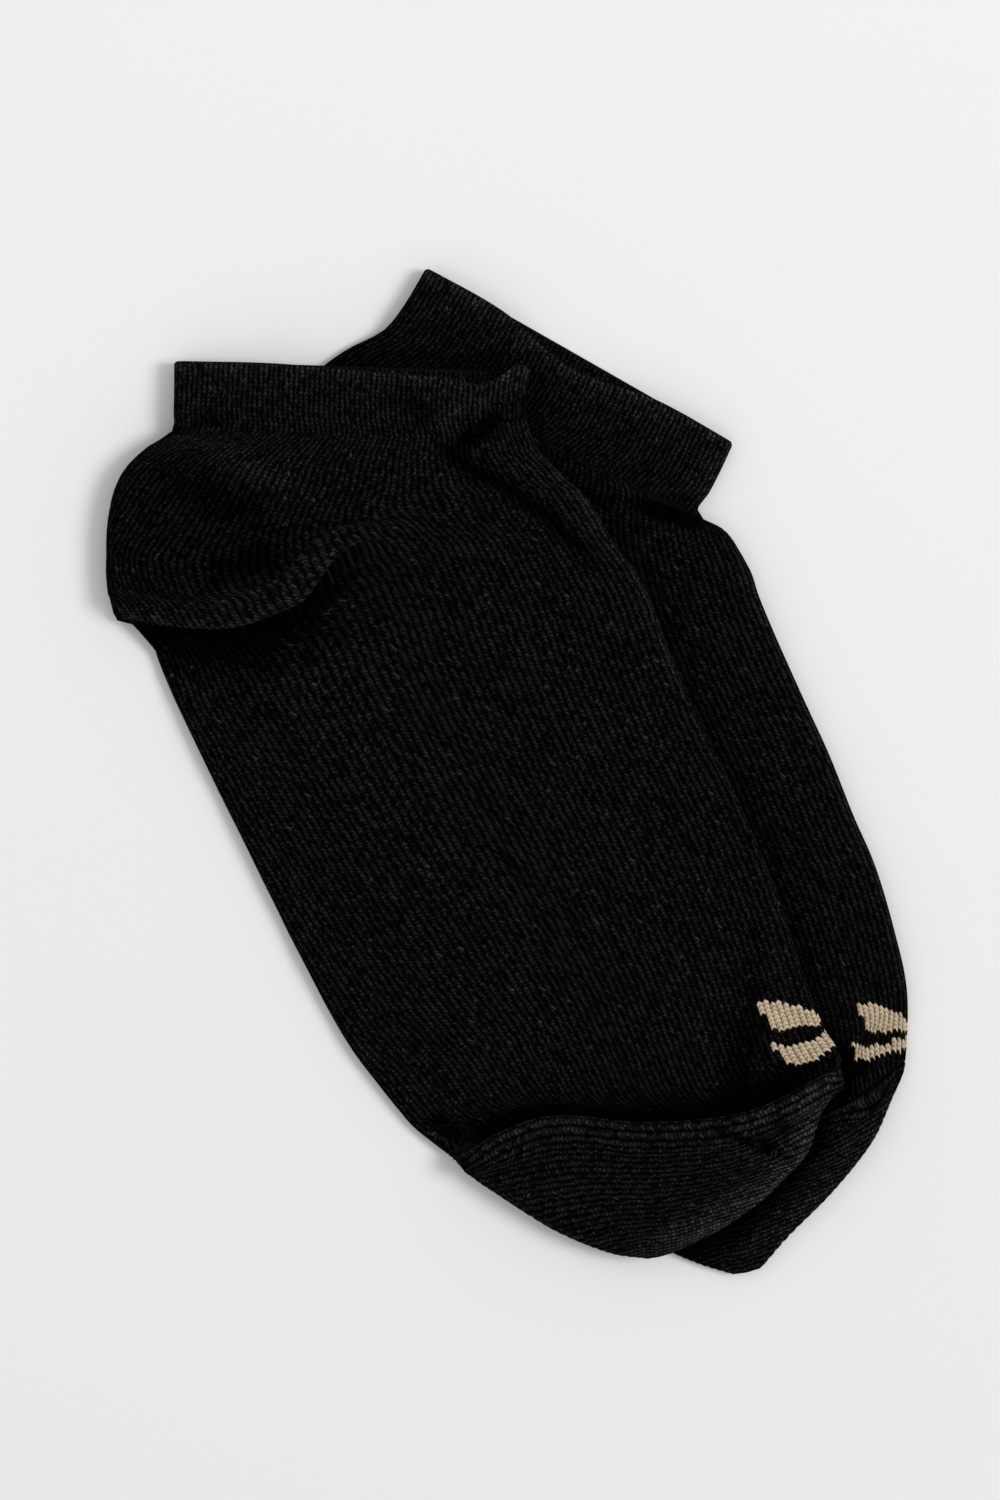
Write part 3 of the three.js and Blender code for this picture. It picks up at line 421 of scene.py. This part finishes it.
def ring_of(section, lay, columns, inset):
    """One section of a sock as a ring of points, one for each column.
    A column is a place in wales, from 0 at the middle of the sole fold over the upper side to 72 at
    the middle of the instep fold, and on below to 144."""
    sole, step = section["sole"], section["step"]
    width = math.dist(sole, step)
    toeward = ((step[1] - sole[1]) / width, -(step[0] - sole[0]) / width)
    dips = (0, *section["dip"], 0)
    top_sole, top_middle, top_step = section["top"]
    tops = (top_sole, top_sole, top_middle, top_step, top_step)
    edges = section["edge"]

    def upper(across, roundness, side):
        dip = through(DIP_PLACES, dips, across)
        top = through(TOP_PLACES, tops, across)
        chord_x = lerp(sole[0], step[0], across)
        chord_y = lerp(sole[1], step[1], across)
        puff = lay["puff"](chord_x + toeward[0] * dip, chord_y + toeward[1] * dip)
        if "crease" in section:
            start, _, _, end = section["window"]
            folded = 0 if inset > 0 else window_at(section["window"], across) * smooth(FLAT_FOLD, 1, puff)
            standing = window_at((0, start, end, min(end + OPENING_OUT, 1)), across) * puff
            standing *= through(DIP_PLACES, section.get("lift", (1, 1, 1, 1, 1)), across)
            fold = section["crease"]
            dip += section["turn"] * lerp(fold["loose"] * standing, fold["along"], folded)
            top += 0 if inset > 0 else fold["rise"] * standing
        x = chord_x + toeward[0] * dip
        y = chord_y + toeward[1] * dip
        edge = lerp(PRESSED / 2, edges[side], puff)
        creased = top + creased_by(lay["creases"], x, y)
        puffed = PRESSED + max(creased - PRESSED, 0) * puff - inset
        return Vector((x, y, lay["base"](x, y) + edge + (puffed - edge) * roundness))

    def lower(across, roundness, side):
        x = lerp(sole[0], step[0], across)
        y = lerp(sole[1], step[1], across)
        edge = lerp(PRESSED / 2, edges[side], lay["puff"](x, y))
        return Vector((x, y, lay["base"](x, y) + edge + (inset - edge) * roundness))

    def half(place, heights):
        """Where a column lies on a side made of two quarter rounds and a flat: across, roundness."""
        rounds = [min(max(height, PRESSED / 2), width * ROUND_SHARE) - inset for height in heights]
        arcs = [rounding * math.pi / 2 for rounding in rounds]
        flat = width - 2 * inset - sum(rounds)
        run = place * (arcs[0] + flat + arcs[1])
        if run < arcs[0]:
            angle = run / rounds[0]
            return (inset + rounds[0] * (1 - math.cos(angle))) / width, math.sin(angle), 0
        if run > arcs[0] + flat:
            angle = (arcs[0] + flat + arcs[1] - run) / rounds[1]
            return 1 - (inset + rounds[1] * (1 - math.cos(angle))) / width, math.sin(angle), 1
        return (inset + rounds[0] + run - arcs[0]) / width, 1, 0 if place < 0.5 else 1

    ring = []
    sway = section.get("sway", EVEN)
    for column in columns:
        if column <= WALES:
            column += through(DIP_PLACES, sway, column / WALES)
        else:
            column += lerp(sway[4], sway[0], column / WALES - 1)
        column %= 2 * WALES
        if column <= WALES:
            heights = (top_sole - edges[0], top_step - edges[1])
            ring.append(upper(*half(column / WALES, heights)))
        else:
            ring.append(lower(*half(2 - column / WALES, edges)))
    ring[-1] = ring[0].copy()
    return ring


def dark_of(section, columns):
    """How much painted shade, or painted highlight where negative, each column of a section gets on its
    upper side.
    """
    darks = []
    for column in columns:
        across = min(column / WALES, 2 - column / WALES)
        if "crease" in section:
            darks.append(section["crease"]["dark"] * window_at(section["window"], across))
        else:
            darks.append(through(DIP_PLACES, section["dark"], across))
    return darks


def even_rows(rings, spacings):
    """Rings added between the given ones, on smooth curves down each column.
    Gives (ring, distance from the first, index of the ring before, share of the way on) for each."""
    gaps = []
    for ring, after in zip(rings, rings[1:]):
        picked = range(0, len(ring), GAUGED)
        gaps.append(max(sum((after[i] - ring[i]).length for i in picked) / len(picked), LEAST_GAP))

    def slopes(k):
        if k == 0 or k == len(rings) - 1:
            one = min(k, len(rings) - 2)
            return [(b - a) / gaps[one] for a, b in zip(rings[one], rings[one + 1])]
        near, far = gaps[k - 1], gaps[k]
        return [((b - a) * (far / near) + (c - b) * (near / far)) / (near + far)
                for a, b, c in zip(rings[k - 1], rings[k], rings[k + 1])]

    rows = []
    run = 0
    slope = slopes(0)
    for k, gap in enumerate(gaps):
        after = slopes(k + 1)
        parts = max(round(gap / spacings[k]), 1)
        for part in range(parts):
            t = part / parts
            t2, t3 = t * t, t * t * t
            ring = [(2 * t3 - 3 * t2 + 1) * a + (t3 - 2 * t2 + t) * gap * da
                    + (3 * t2 - 2 * t3) * b + (t3 - t2) * gap * db
                    for a, b, da, db in zip(rings[k], rings[k + 1], slope, after)]
            rows.append((ring, run + gap * t, k, t))
        run += gap
        slope = after
    rows.append((rings[-1], run, len(gaps), 0))
    return rows


def rows_of(sections, lay, columns):
    """The mesh's rows, from the end of the hollow to the mouth and down the outside to the toe."""
    unfolded = []
    for section in sections:
        unfolded += unfold(section) if "fold" in section else [section]
    keys = fill_in(unfolded, KEY_SPACING)
    toe_from = len(keys)
    for k, key in enumerate(keys):
        if key.get("fold") == "up" and key["crease"] is TOE_STEP:
            toe_from = k
    spacings = [WALE / ROWS_PER_TOE_WALE if k >= toe_from else ROW_SPACING for k in range(len(keys))]
    outer = even_rows([ring_of(key, lay, columns, 0) for key in keys], spacings)
    darks = [dark_of(key, columns) for key in keys]
    darks.append(darks[-1])
    hollow = keys[:len(keys) - SOLID_ROWS]
    inner_keys = [ring_of(key, lay, columns, WALL) for key in hollow[::2]]
    inner = even_rows(inner_keys, [INNER_SPACING] * len(inner_keys))

    # The rounded rim of the mouth and the rounded end of the toe
    mouthward = (outer[0][0][0] - outer[1][0][0]).normalized() * WALL / 2
    rim = [(a + b) / 2 + mouthward for a, b in zip(outer[0][0], inner[0][0])]
    tip = outer[-1][0]
    middle = sum(tip, Vector()) / len(tip)
    out = (middle - sum(outer[-4][0], Vector()) / len(tip)).normalized() * TIP_ROUND
    ends = []
    for degrees in TIP_ANGLES:
        angle = math.radians(degrees)
        ends.append([middle + (point - middle) * math.cos(angle) + out * math.sin(angle) for point in tip])

    inside = dict(kind="inside", toe=False)
    rows = [dict(inside, ring=[sum(inner[-1][0], Vector()) / len(tip)] * len(tip), run=-inner[-1][1])]
    rows += [dict(inside, ring=ring, run=-run) for ring, run, _, _ in reversed(inner)]
    rows.append(dict(kind="rim", toe=False, ring=rim, run=0))
    for ring, run, k, t in outer:
        dark = [lerp(a, b, smooth(0, 1, t)) for a, b in zip(darks[k], darks[k + 1])]
        rows.append(dict(kind="outside", toe=k >= toe_from, ring=ring, run=run, dark=dark,
                         hidden=keys[k].get("crease") in HIDDEN))
    rows += [dict(kind="end", toe=True, ring=ring, run=outer[-1][1] + TIP_SPACING * (i + 1))
             for i, ring in enumerate(ends)]
    return rows


def count_down(rows, columns):
    """The length of cloth up to each point: down each column on the foot, along each row on the toe."""
    counts = [[-rows[0]["run"]] * len(columns)]
    for before, row in zip(rows, rows[1:]):
        if row["toe"]:
            steps = [(b - a).length for a, b in zip(row["ring"], row["ring"][1:])]
            start = sum(steps[:len(steps) // 3])
            counts.append([sum(steps[:i]) - start for i in range(len(columns))])
            continue
        steps = [(b - a).length for a, b in zip(before["ring"], row["ring"])]
        hidden = before.get("hidden")
        most = sorted(steps)[len(steps) // 2] if hidden else math.inf
        last = [0] * len(columns) if row["kind"] == "rim" else counts[-1]
        count = [count + min(step, most) for count, step in zip(last, steps)]
        if hidden:
            pocket = GORE * STEPS_PER_WALE
            level = count[pocket]
            count[:pocket] = [lerp(one, level, LEVELLED) for one in count[:pocket]]
        counts.append(count)
    return counts


def wrap(rows, columns, toe_start):
    """A grid whose columns are the wales, wrapped round both surfaces, with its stitches counted."""
    bm = bmesh.new()
    bmesh.ops.create_grid(bm, x_segments=len(columns) - 1, y_segments=len(rows) - 1, size=1)
    knit = bm.loops.layers.uv.new("knit")
    column_of = bm.verts.layers.int.new("column")
    row_of = bm.verts.layers.int.new("row")
    for vert in bm.verts:
        i = vert[column_of] = round((vert.co.x + 1) / 2 * (len(columns) - 1))
        j = vert[row_of] = round((vert.co.y + 1) / 2 * (len(rows) - 1))
        vert.co = rows[j]["ring"][i] * MM
    counts = count_down(rows, columns)
    for face in bm.faces:
        toe = rows[max(vert[row_of] for vert in face.verts)]["toe"]
        for loop in face.loops:
            i, j = loop.vert[column_of], loop.vert[row_of]
            wale = TOE_OFFSET + (rows[j]["run"] - toe_start) / WALE if toe else columns[i]
            loop[knit].uv = (wale, counts[j][i] / COURSE)
    bmesh.ops.remove_doubles(bm, verts=bm.verts, dist=MERGED_WITHIN * MM)
    bmesh.ops.recalc_face_normals(bm, faces=bm.faces)
    bm.normal_update()
    return bm


def press_in(bm, rows, columns, lay):
    """The finer folds and the pushes, and the painted shade and highlights that darken or lighten each
    place.
    """
    column_of, row_of = bm.verts.layers.int["column"], bm.verts.layers.int["row"]
    shade_of = bm.verts.layers.float.new("shade")
    for vert in bm.verts:
        x, y = vert.co.x / MM, vert.co.y / MM
        row = rows[vert[row_of]]
        outside = row["kind"] in ("outside", "end")
        facing = smooth(0, STEEP, vert.normal.z if outside else -vert.normal.z)
        if facing > 0:
            rise, shade = folded_by(lay["folds"], x, y)
            uneven = UNEVEN * (
                noise.noise(Vector((x, y, lay["seed"])) * UNEVEN_PLACES)
                + FINER_SHARE * noise.noise(Vector((x, y, -lay["seed"])) * FINER_PLACES * UNEVEN_PLACES))
            # painted shade from the sections and the lip, painted shade beside the mate, and a painted
            # highlight along the mouth's edge
            if row["kind"] == "outside":
                shade += row["dark"][vert[column_of]] + lay["beside"](x, y)
                shade -= WELT_PAINTED_HIGHLIGHT * max(1 - row["run"] / WELT_EDGE, 0)
            vert[shade_of] = shade * facing
            height = vert.co.z / MM - lay["base"](x, y)
            lowest = min(height, PINCHED if outside else PINCHED - WALL)
            vert.co.z = (lay["base"](x, y) + max(height + (rise + uneven) * facing, lowest)) * MM
        if columns[vert[column_of]] < WALES:
            for push in lay["pushes"]:
                felt = math.exp(-math.dist((x, y), push["at"]) ** 2 / push["reach"] ** 2)
                vert.co.x += push["push"][0] * felt * MM
                vert.co.y += push["push"][1] * felt * MM
    bm.normal_update()


def raise_wales(bm, rows, columns, toe_start):
    """The wales stand proud: down the foot, and across the toe pocket."""
    column_of, row_of = bm.verts.layers.int["column"], bm.verts.layers.int["row"]
    for vert in bm.verts:
        row, column = rows[vert[row_of]], columns[vert[column_of]]
        if row["kind"] in ("inside", "rim"):
            continue
        below = min(column - WALES, 2 * WALES - column)
        fading = 1 - smooth(0, RIB_FADE, below)
        place = (row["run"] - toe_start) / WALE if row["toe"] else column
        rib = 1 - abs(2 * (place % 1) - 1) ** RIB_BACK
        vert.co += vert.normal * RIB_RISE * (rib - 1) * fading * MM


def knit_sock(name, sections, lay):
    """A sock as one closed mesh, with more columns on the side that shows than on the underside."""
    columns = [i / STEPS_PER_WALE for i in range(WALES * STEPS_PER_WALE)]
    columns += [WALES + i for i in range(WALES + 1)]
    rows = rows_of(sections, lay, columns)
    toe_start = next(row["run"] for row in rows if row["toe"])
    bm = wrap(rows, columns, toe_start)
    press_in(bm, rows, columns, lay)
    raise_wales(bm, rows, columns, toe_start)
    for face in bm.faces:
        face.smooth = True
    mesh = bpy.data.meshes.new(name)
    bm.to_mesh(mesh)
    bm.free()
    sock = bpy.data.objects.new(name, mesh)
    bpy.context.scene.collection.objects.link(sock)
    return sock


# How a sock lies: its creases, folds and pushes, the seed of its unevenness, the height that it lies on,
# how full it is, and the painted shade that darkens it beside its mate
UNDER_OUTLINE = outline_of(UNDER_SECTIONS)
over_lay = dict(
    creases=OVER_CREASES,
    folds=OVER_FOLDS,
    pushes=OVER_PUSHES,
    beside=lambda x, y: 0,
    seed=1.7,
    base=lambda x, y: (PRESSED + CLEARANCE) * (
        1 - smooth(OVERHANG, OVERHANG + CLIMB, distance_to(UNDER_OUTLINE, x, y))),
    puff=lambda x, y: 1,
)
over = knit_sock("over_sock", OVER_SECTIONS, over_lay)


STITCH_LEAN = 0.6             # how steeply the two legs of a stitch lean
STITCH_DIP = 0.65             # how deep the cloth dips between the stitches of a wale
PALE_LEG, DARK_LEG = 1.7, 0.2     # how the palest and the darkest leg take the light
FEW_PALE = 1.5                # how few are pale
FUZZ_PLACES = 2.4             # how close together the tufts of the fuzz lie, for each wale
FUZZ_DETAIL = 3
FUZZ_CONTRAST = 4.8
FUZZ_LEVEL = -1.4
FUZZ_LEAST = 0.05
HOLLOWS_DARK = 1.3            # how deep the painted shade in the dips between the stitches is
LEAST_LIT = 0.08              # light that reaches the deepest fold
BUMP_HEIGHT = 0.0004
BUMP_STRENGTH = 0.8
LINT_FROM = 0.995             # share of the stitches that hold no lint
LINT = (0.03, 0.03, 0.032)
BEIGE = (0.54, 0.42, 0.285)
# painted shade of the beige yarn in the gaps between its stitches
BEIGE_IN_PAINTED_SHADE = (0.12, 0.095, 0.07)
BEIGE_PAST_PAINTED_SHADE = 2.3              # how quickly the beige takes over from the painted shade between its stitches
BEIGE_LEAST = 0.05
LEG_MIDDLE = 0.8              # where on its leg a stitch's course is taken
BAR_MIDDLE = 66               # wale that the bars' bends are measured from
BAR_END = 76                  # wale that they end at, just round the instep fold
BLACK = (0.0002, 0.0002, 0.0002)
GREY = (0.0115, 0.0115, 0.012)

# start: a bar's first wale. top, bottom: the course at which each edge crosses BAR_MIDDLE, its slope and
# its bend.
OVER_BARS = [
    dict(start=62.6, top=(166.0, 0.55, 0), bottom=(172.3, 0.164, -0.053)),
    dict(start=62.8, top=(176.5, 0.06, -0.125), bottom=(181.3, 0.026, -0.137)),
]
BAR_SLANT = 0.3               # wales that the start of a bar moves over by each course


def knit_cloth(name, black, grey, bars):
    """Fine jersey: V-shaped stitches in rows of wales, matt and a little fuzzy, with plain knitted bars."""
    material = bpy.data.materials.new(name)
    material.use_nodes = True
    nodes, links = material.node_tree.nodes, material.node_tree.links
    shader = nodes["Principled BSDF"]

    def math_node(operation, first, second=None, third=None):
        node = nodes.new("ShaderNodeMath")
        node.operation = operation
        for socket, value in zip(node.inputs, (first, second, third)):
            if value is None:
                continue
            if isinstance(value, (int, float)):
                socket.default_value = value
            else:
                links.new(value, socket)
        return node.outputs[0]

    place = nodes.new("ShaderNodeUVMap")
    place.uv_map = "knit"
    split = nodes.new("ShaderNodeSeparateXYZ")
    links.new(place.outputs["UV"], split.inputs[0])
    wale, course = split.outputs[0], split.outputs[1]
    side = math_node("ABSOLUTE", math_node("MULTIPLY_ADD", math_node("FRACT", wale), 2.0, -1.0))
    lean = math_node("MULTIPLY_ADD", side, -STITCH_LEAN, course)
    leg = math_node("SINE", math_node("MULTIPLY", math_node("FRACT", lean), math.pi))
    ridge = math_node("SUBTRACT", 1.0, math_node("POWER", side, 2.0))
    height = math_node("MULTIPLY", ridge, math_node("MULTIPLY_ADD", leg, STITCH_DIP, 1 - STITCH_DIP))

    stitch = nodes.new("ShaderNodeCombineXYZ")
    links.new(math_node("FLOOR", math_node("MULTIPLY", wale, 2.0)), stitch.inputs[0])
    links.new(math_node("FLOOR", lean), stitch.inputs[1])
    chance = nodes.new("ShaderNodeTexWhiteNoise")
    chance.noise_dimensions = "2D"
    links.new(stitch.outputs[0], chance.inputs["Vector"])
    fuzz = nodes.new("ShaderNodeTexNoise")
    fuzz.inputs["Scale"].default_value = FUZZ_PLACES
    fuzz.inputs["Detail"].default_value = FUZZ_DETAIL
    links.new(place.outputs["UV"], fuzz.inputs["Vector"])

    # Each leg of a stitch catches the light a little differently, and painted shade darkens the dips between
    # the stitches
    pale_share = math_node("POWER", chance.outputs["Value"], FEW_PALE)
    uneven = math_node("MULTIPLY_ADD", pale_share, PALE_LEG - DARK_LEG, DARK_LEG)
    woolly = math_node("MAXIMUM", math_node("MULTIPLY_ADD", fuzz.outputs["Fac"], FUZZ_CONTRAST, FUZZ_LEVEL),
                       FUZZ_LEAST)
    raised = math_node("POWER", height, HOLLOWS_DARK)
    tone = math_node("MULTIPLY", math_node("MULTIPLY", raised, uneven), woolly)
    # The painted shade of the folds, the lips and the mate darkens the tone, and the lint with it; where
    # negative it is a painted highlight and lightens the tone
    shade = nodes.new("ShaderNodeAttribute")
    shade.attribute_name = "shade"
    lit = math_node("MAXIMUM", math_node("SUBTRACT", 1.0, shade.outputs["Fac"]), LEAST_LIT)
    tone = math_node("MULTIPLY", tone, lit)
    mix = nodes.new("ShaderNodeMix")
    mix.data_type = "RGBA"
    mix.clamp_factor = False
    links.new(tone, mix.inputs["Factor"])
    mix.inputs["A"].default_value = (*black, 1)
    mix.inputs["B"].default_value = (*grey, 1)

    # A little pale lint sits in the stitches
    lint = math_node("MULTIPLY", math_node("GREATER_THAN", chance.outputs["Value"], LINT_FROM), leg)
    lint = math_node("MULTIPLY", lint, lit)
    specks = nodes.new("ShaderNodeMix")
    specks.data_type = "RGBA"
    links.new(lint, specks.inputs["Factor"])
    links.new(mix.outputs["Result"], specks.inputs["A"])
    specks.inputs["B"].default_value = (*LINT, 1)

    # The bars are knitted in whole stitches of beige yarn
    at_wale = math_node("ADD", math_node("FLOOR", wale), 0.5)
    at_course = math_node("ADD", math_node("FLOOR", lean), LEG_MIDDLE)
    off = math_node("SUBTRACT", at_wale, BAR_MIDDLE)
    in_bar = 0.0
    for bar in bars:
        top, bottom = [
            math_node("MULTIPLY_ADD", off, math_node("MULTIPLY_ADD", off, bend, slope), course)
            for course, slope, bend in (bar["top"], bar["bottom"])]
        inside = math_node("MULTIPLY", math_node("GREATER_THAN", at_course, top),
                           math_node("LESS_THAN", at_course, bottom))
        slant = math_node("SUBTRACT", math_node("ADD", at_course, at_course), math_node("ADD", top, bottom))
        start = math_node("MULTIPLY_ADD", slant, BAR_SLANT / 2, bar["start"])
        past_start = math_node("GREATER_THAN", at_wale, start)
        before_end = math_node("LESS_THAN", at_wale, BAR_END)
        in_bar = math_node("MAXIMUM", in_bar,
                           math_node("MULTIPLY", inside, math_node("MULTIPLY", past_start, before_end)))
    # The beige stitches, with painted shade in the gaps between them
    beige = nodes.new("ShaderNodeMix")
    beige.data_type = "RGBA"
    beige_unshaded = math_node("MULTIPLY_ADD", math_node("MULTIPLY", ridge, leg), BEIGE_PAST_PAINTED_SHADE, BEIGE_LEAST)
    links.new(beige_unshaded, beige.inputs["Factor"])
    beige.inputs["A"].default_value = (*BEIGE_IN_PAINTED_SHADE, 1)
    beige.inputs["B"].default_value = (*BEIGE, 1)
    yarns = nodes.new("ShaderNodeMix")
    yarns.data_type = "RGBA"
    links.new(in_bar, yarns.inputs["Factor"])
    links.new(specks.outputs["Result"], yarns.inputs["A"])
    links.new(beige.outputs["Result"], yarns.inputs["B"])
    links.new(yarns.outputs["Result"], shader.inputs["Base Color"])
    bump = nodes.new("ShaderNodeBump")
    bump.inputs["Distance"].default_value = BUMP_HEIGHT
    bump.inputs["Strength"].default_value = BUMP_STRENGTH
    links.new(math_node("MULTIPLY", height, uneven), bump.inputs["Height"])
    links.new(bump.outputs["Normal"], shader.inputs["Normal"])
    shader.inputs["Roughness"].default_value = 0.9
    shader.inputs["Specular IOR Level"].default_value = 0.0
    shader.inputs["Sheen Weight"].default_value = 0.02
    shader.inputs["Sheen Roughness"].default_value = 0.3
    return material


over.data.materials.append(knit_cloth("over black jersey", BLACK, GREY, OVER_BARS))
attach(over, "root")
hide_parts("sock_over")


# The under sock
# The over sock's mate, knitted in the same way. It lies on the floor, turned a little to the right, and
# is pressed flat where the over sock lies on it. Its cuff, its instep and its toe show.
PRESSED_RIM = 2               # rim beside the over sock where it is still pressed flat
SETTLE = 10                   # run over which it comes up to its full height
SHADED = (0.5, 7)             # run beside the over sock over which its painted shade falls off
SHADE_AT_TOE, SHADE_ABOVE = 0.9, 0.45
TOE_REACH = (-66, -40)        # places up the picture between which one painted shade turns into the other

UNDER_CREASES = [
    dict(at=(33.6, 51.4), turn=-20, long=6, wide=3.0, rise=-1.2),
    dict(at=(31.0, 57.4), turn=-28, long=9, wide=3.6, rise=0.8),
    dict(at=(43.0, 42.0), turn=-62, long=10, wide=5, rise=0.6),
]

UNDER_FOLDS = [
    # the deep crease in the notch below the cuff, darkened with painted shade
    dict(path=((26.6, 53.6), (31.0, 52.4), (35.0, 50.9), (39.4, 49.4)),
         wide=(1.1, 1.8), rise=-1.6, shade=2.0),
    dict(path=((10.0, 57.0), (17.0, 55.4), (24.0, 54.0), (29.0, 53.0)),
         wide=(1.0, 1.8), rise=-0.6, shade=0.4),
    # the hollow above the lip of the toe, darkened with painted shade
    dict(path=((60.0, -62.0), (66.6, -60.4), (72.0, -57.6), (78.0, -53.6)),
         wide=(2.6, 1.4), rise=-0.7, shade=0.8),
    # painted highlights along the edges of the instep, the cuff and the toe, with a low ridge at the instep
    dict(path=((47.0, 40.0), (56.0, 23.0), (66.0, -1.0), (73.4, -20.0), (78.6, -40.0)),
         wide=(1.8, 1.8), rise=0.3, shade=-0.7),
    dict(path=((-4.0, 91.0), (8.0, 83.0), (18.0, 77.0), (28.0, 73.0), (42.0, 66.0)),
         wide=(1.6, 3.6), rise=0.0, shade=-0.5),
    dict(path=((43.4, 64.0), (41.6, 60.0), (39.0, 55.0)), wide=(3.0, 3.0), rise=0.0, shade=-0.7),
    dict(path=((76.0, -64.0), (71.0, -73.0), (64.0, -82.0), (56.0, -90.6), (48.0, -97.6)),
         wide=(3.4, 4.0), rise=0.0, shade=-1.2),
]
UNDER_BARS = [
    dict(start=61.6, top=(153.3, -0.18, 0), bottom=(159.3, -0.587, -0.047)),
    dict(start=59.8, top=(162.3, -0.85, -0.074), bottom=(165.1, -0.9, -0.068)),
]

OVER_OUTLINE = outline_of(OVER_SECTIONS)
under_lay = dict(
    creases=UNDER_CREASES,
    folds=UNDER_FOLDS,
    pushes=[],
    # painted shade on its cloth beside the over sock, darker at the toe
    beside=lambda x, y: (1 - smooth(*SHADED, distance_to(OVER_OUTLINE, x, y))) * lerp(
        SHADE_AT_TOE, SHADE_ABOVE, smooth(*TOE_REACH, y)),
    seed=8.3,
    base=lambda x, y: 0,
    puff=lambda x, y: smooth(PRESSED_RIM, PRESSED_RIM + SETTLE, distance_to(OVER_OUTLINE, x, y)),
)
under = knit_sock("under_sock", UNDER_SECTIONS, under_lay)
under.data.materials.append(knit_cloth("under black jersey", BLACK, GREY, UNDER_BARS))
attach(under, "root")
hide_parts("sock_under")


# The floor
# A wide sheet of plain pale paper, laid flat under the pair. Painted light makes it a little paler towards
# the upper left of the picture, on the side away from the lamp.
FLOOR_SIZE = 4.0
PAINTED_LIGHT_SLOPE = (-2.0, 2.4, 0)       # which way the painted light makes it paler, and how quickly
PAPER = (0.765, 0.765, 0.765, 1)
PAPER_IN_PAINTED_LIGHT = (0.835, 0.835, 0.835, 1)
bm = bmesh.new()
bmesh.ops.create_grid(bm, x_segments=1, y_segments=1, size=FLOOR_SIZE / 2)
floor_mesh = bpy.data.meshes.new("floor")
bm.to_mesh(floor_mesh)
bm.free()
floor = bpy.data.objects.new("floor", floor_mesh)
bpy.context.scene.collection.objects.link(floor)
paper = bpy.data.materials.new("pale paper")
paper.use_nodes = True
paper_nodes, paper_links = paper.node_tree.nodes, paper.node_tree.links
spot = paper_nodes.new("ShaderNodeTexCoord")
slant = paper_nodes.new("ShaderNodeVectorMath")
slant.operation = "DOT_PRODUCT"
slant.inputs[1].default_value = PAINTED_LIGHT_SLOPE
paper_links.new(spot.outputs["Object"], slant.inputs[0])
paling = paper_nodes.new("ShaderNodeMapRange")
paling.inputs["From Min"].default_value = -0.5
paling.inputs["From Max"].default_value = 0.5
paper_links.new(slant.outputs["Value"], paling.inputs["Value"])
pale = paper_nodes.new("ShaderNodeMix")
pale.data_type = "RGBA"
pale.inputs["A"].default_value = PAPER
pale.inputs["B"].default_value = PAPER_IN_PAINTED_LIGHT
paper_links.new(paling.outputs["Result"], pale.inputs["Factor"])
paper_shader = paper_nodes["Principled BSDF"]
paper_links.new(pale.outputs["Result"], paper_shader.inputs["Base Color"])
paper_shader.inputs["Roughness"].default_value = 0.9
paper_shader.inputs["Specular IOR Level"].default_value = 0.1
floor.data.materials.append(paper)


# The light
# One large soft lamp stands to the right of the pair, halfway up, in a pale studio that lights them
# evenly from all round.
key_data = bpy.data.lights.new("key", "AREA")
key_data.shape = "DISK"
key_data.size = 1.0
key_data.energy = 30
key = bpy.data.objects.new("key", key_data)
key.location = (1.6, 0.05, 1.75)
key.rotation_euler = (-key.location).to_track_quat("-Z", "Y").to_euler()
bpy.context.scene.collection.objects.link(key)

world = bpy.data.worlds.new("studio")
world.use_nodes = True
world.node_tree.nodes["Background"].inputs["Color"].default_value = (1, 1, 1, 1)
world.node_tree.nodes["Background"].inputs["Strength"].default_value = 0.68
bpy.context.scene.world = world
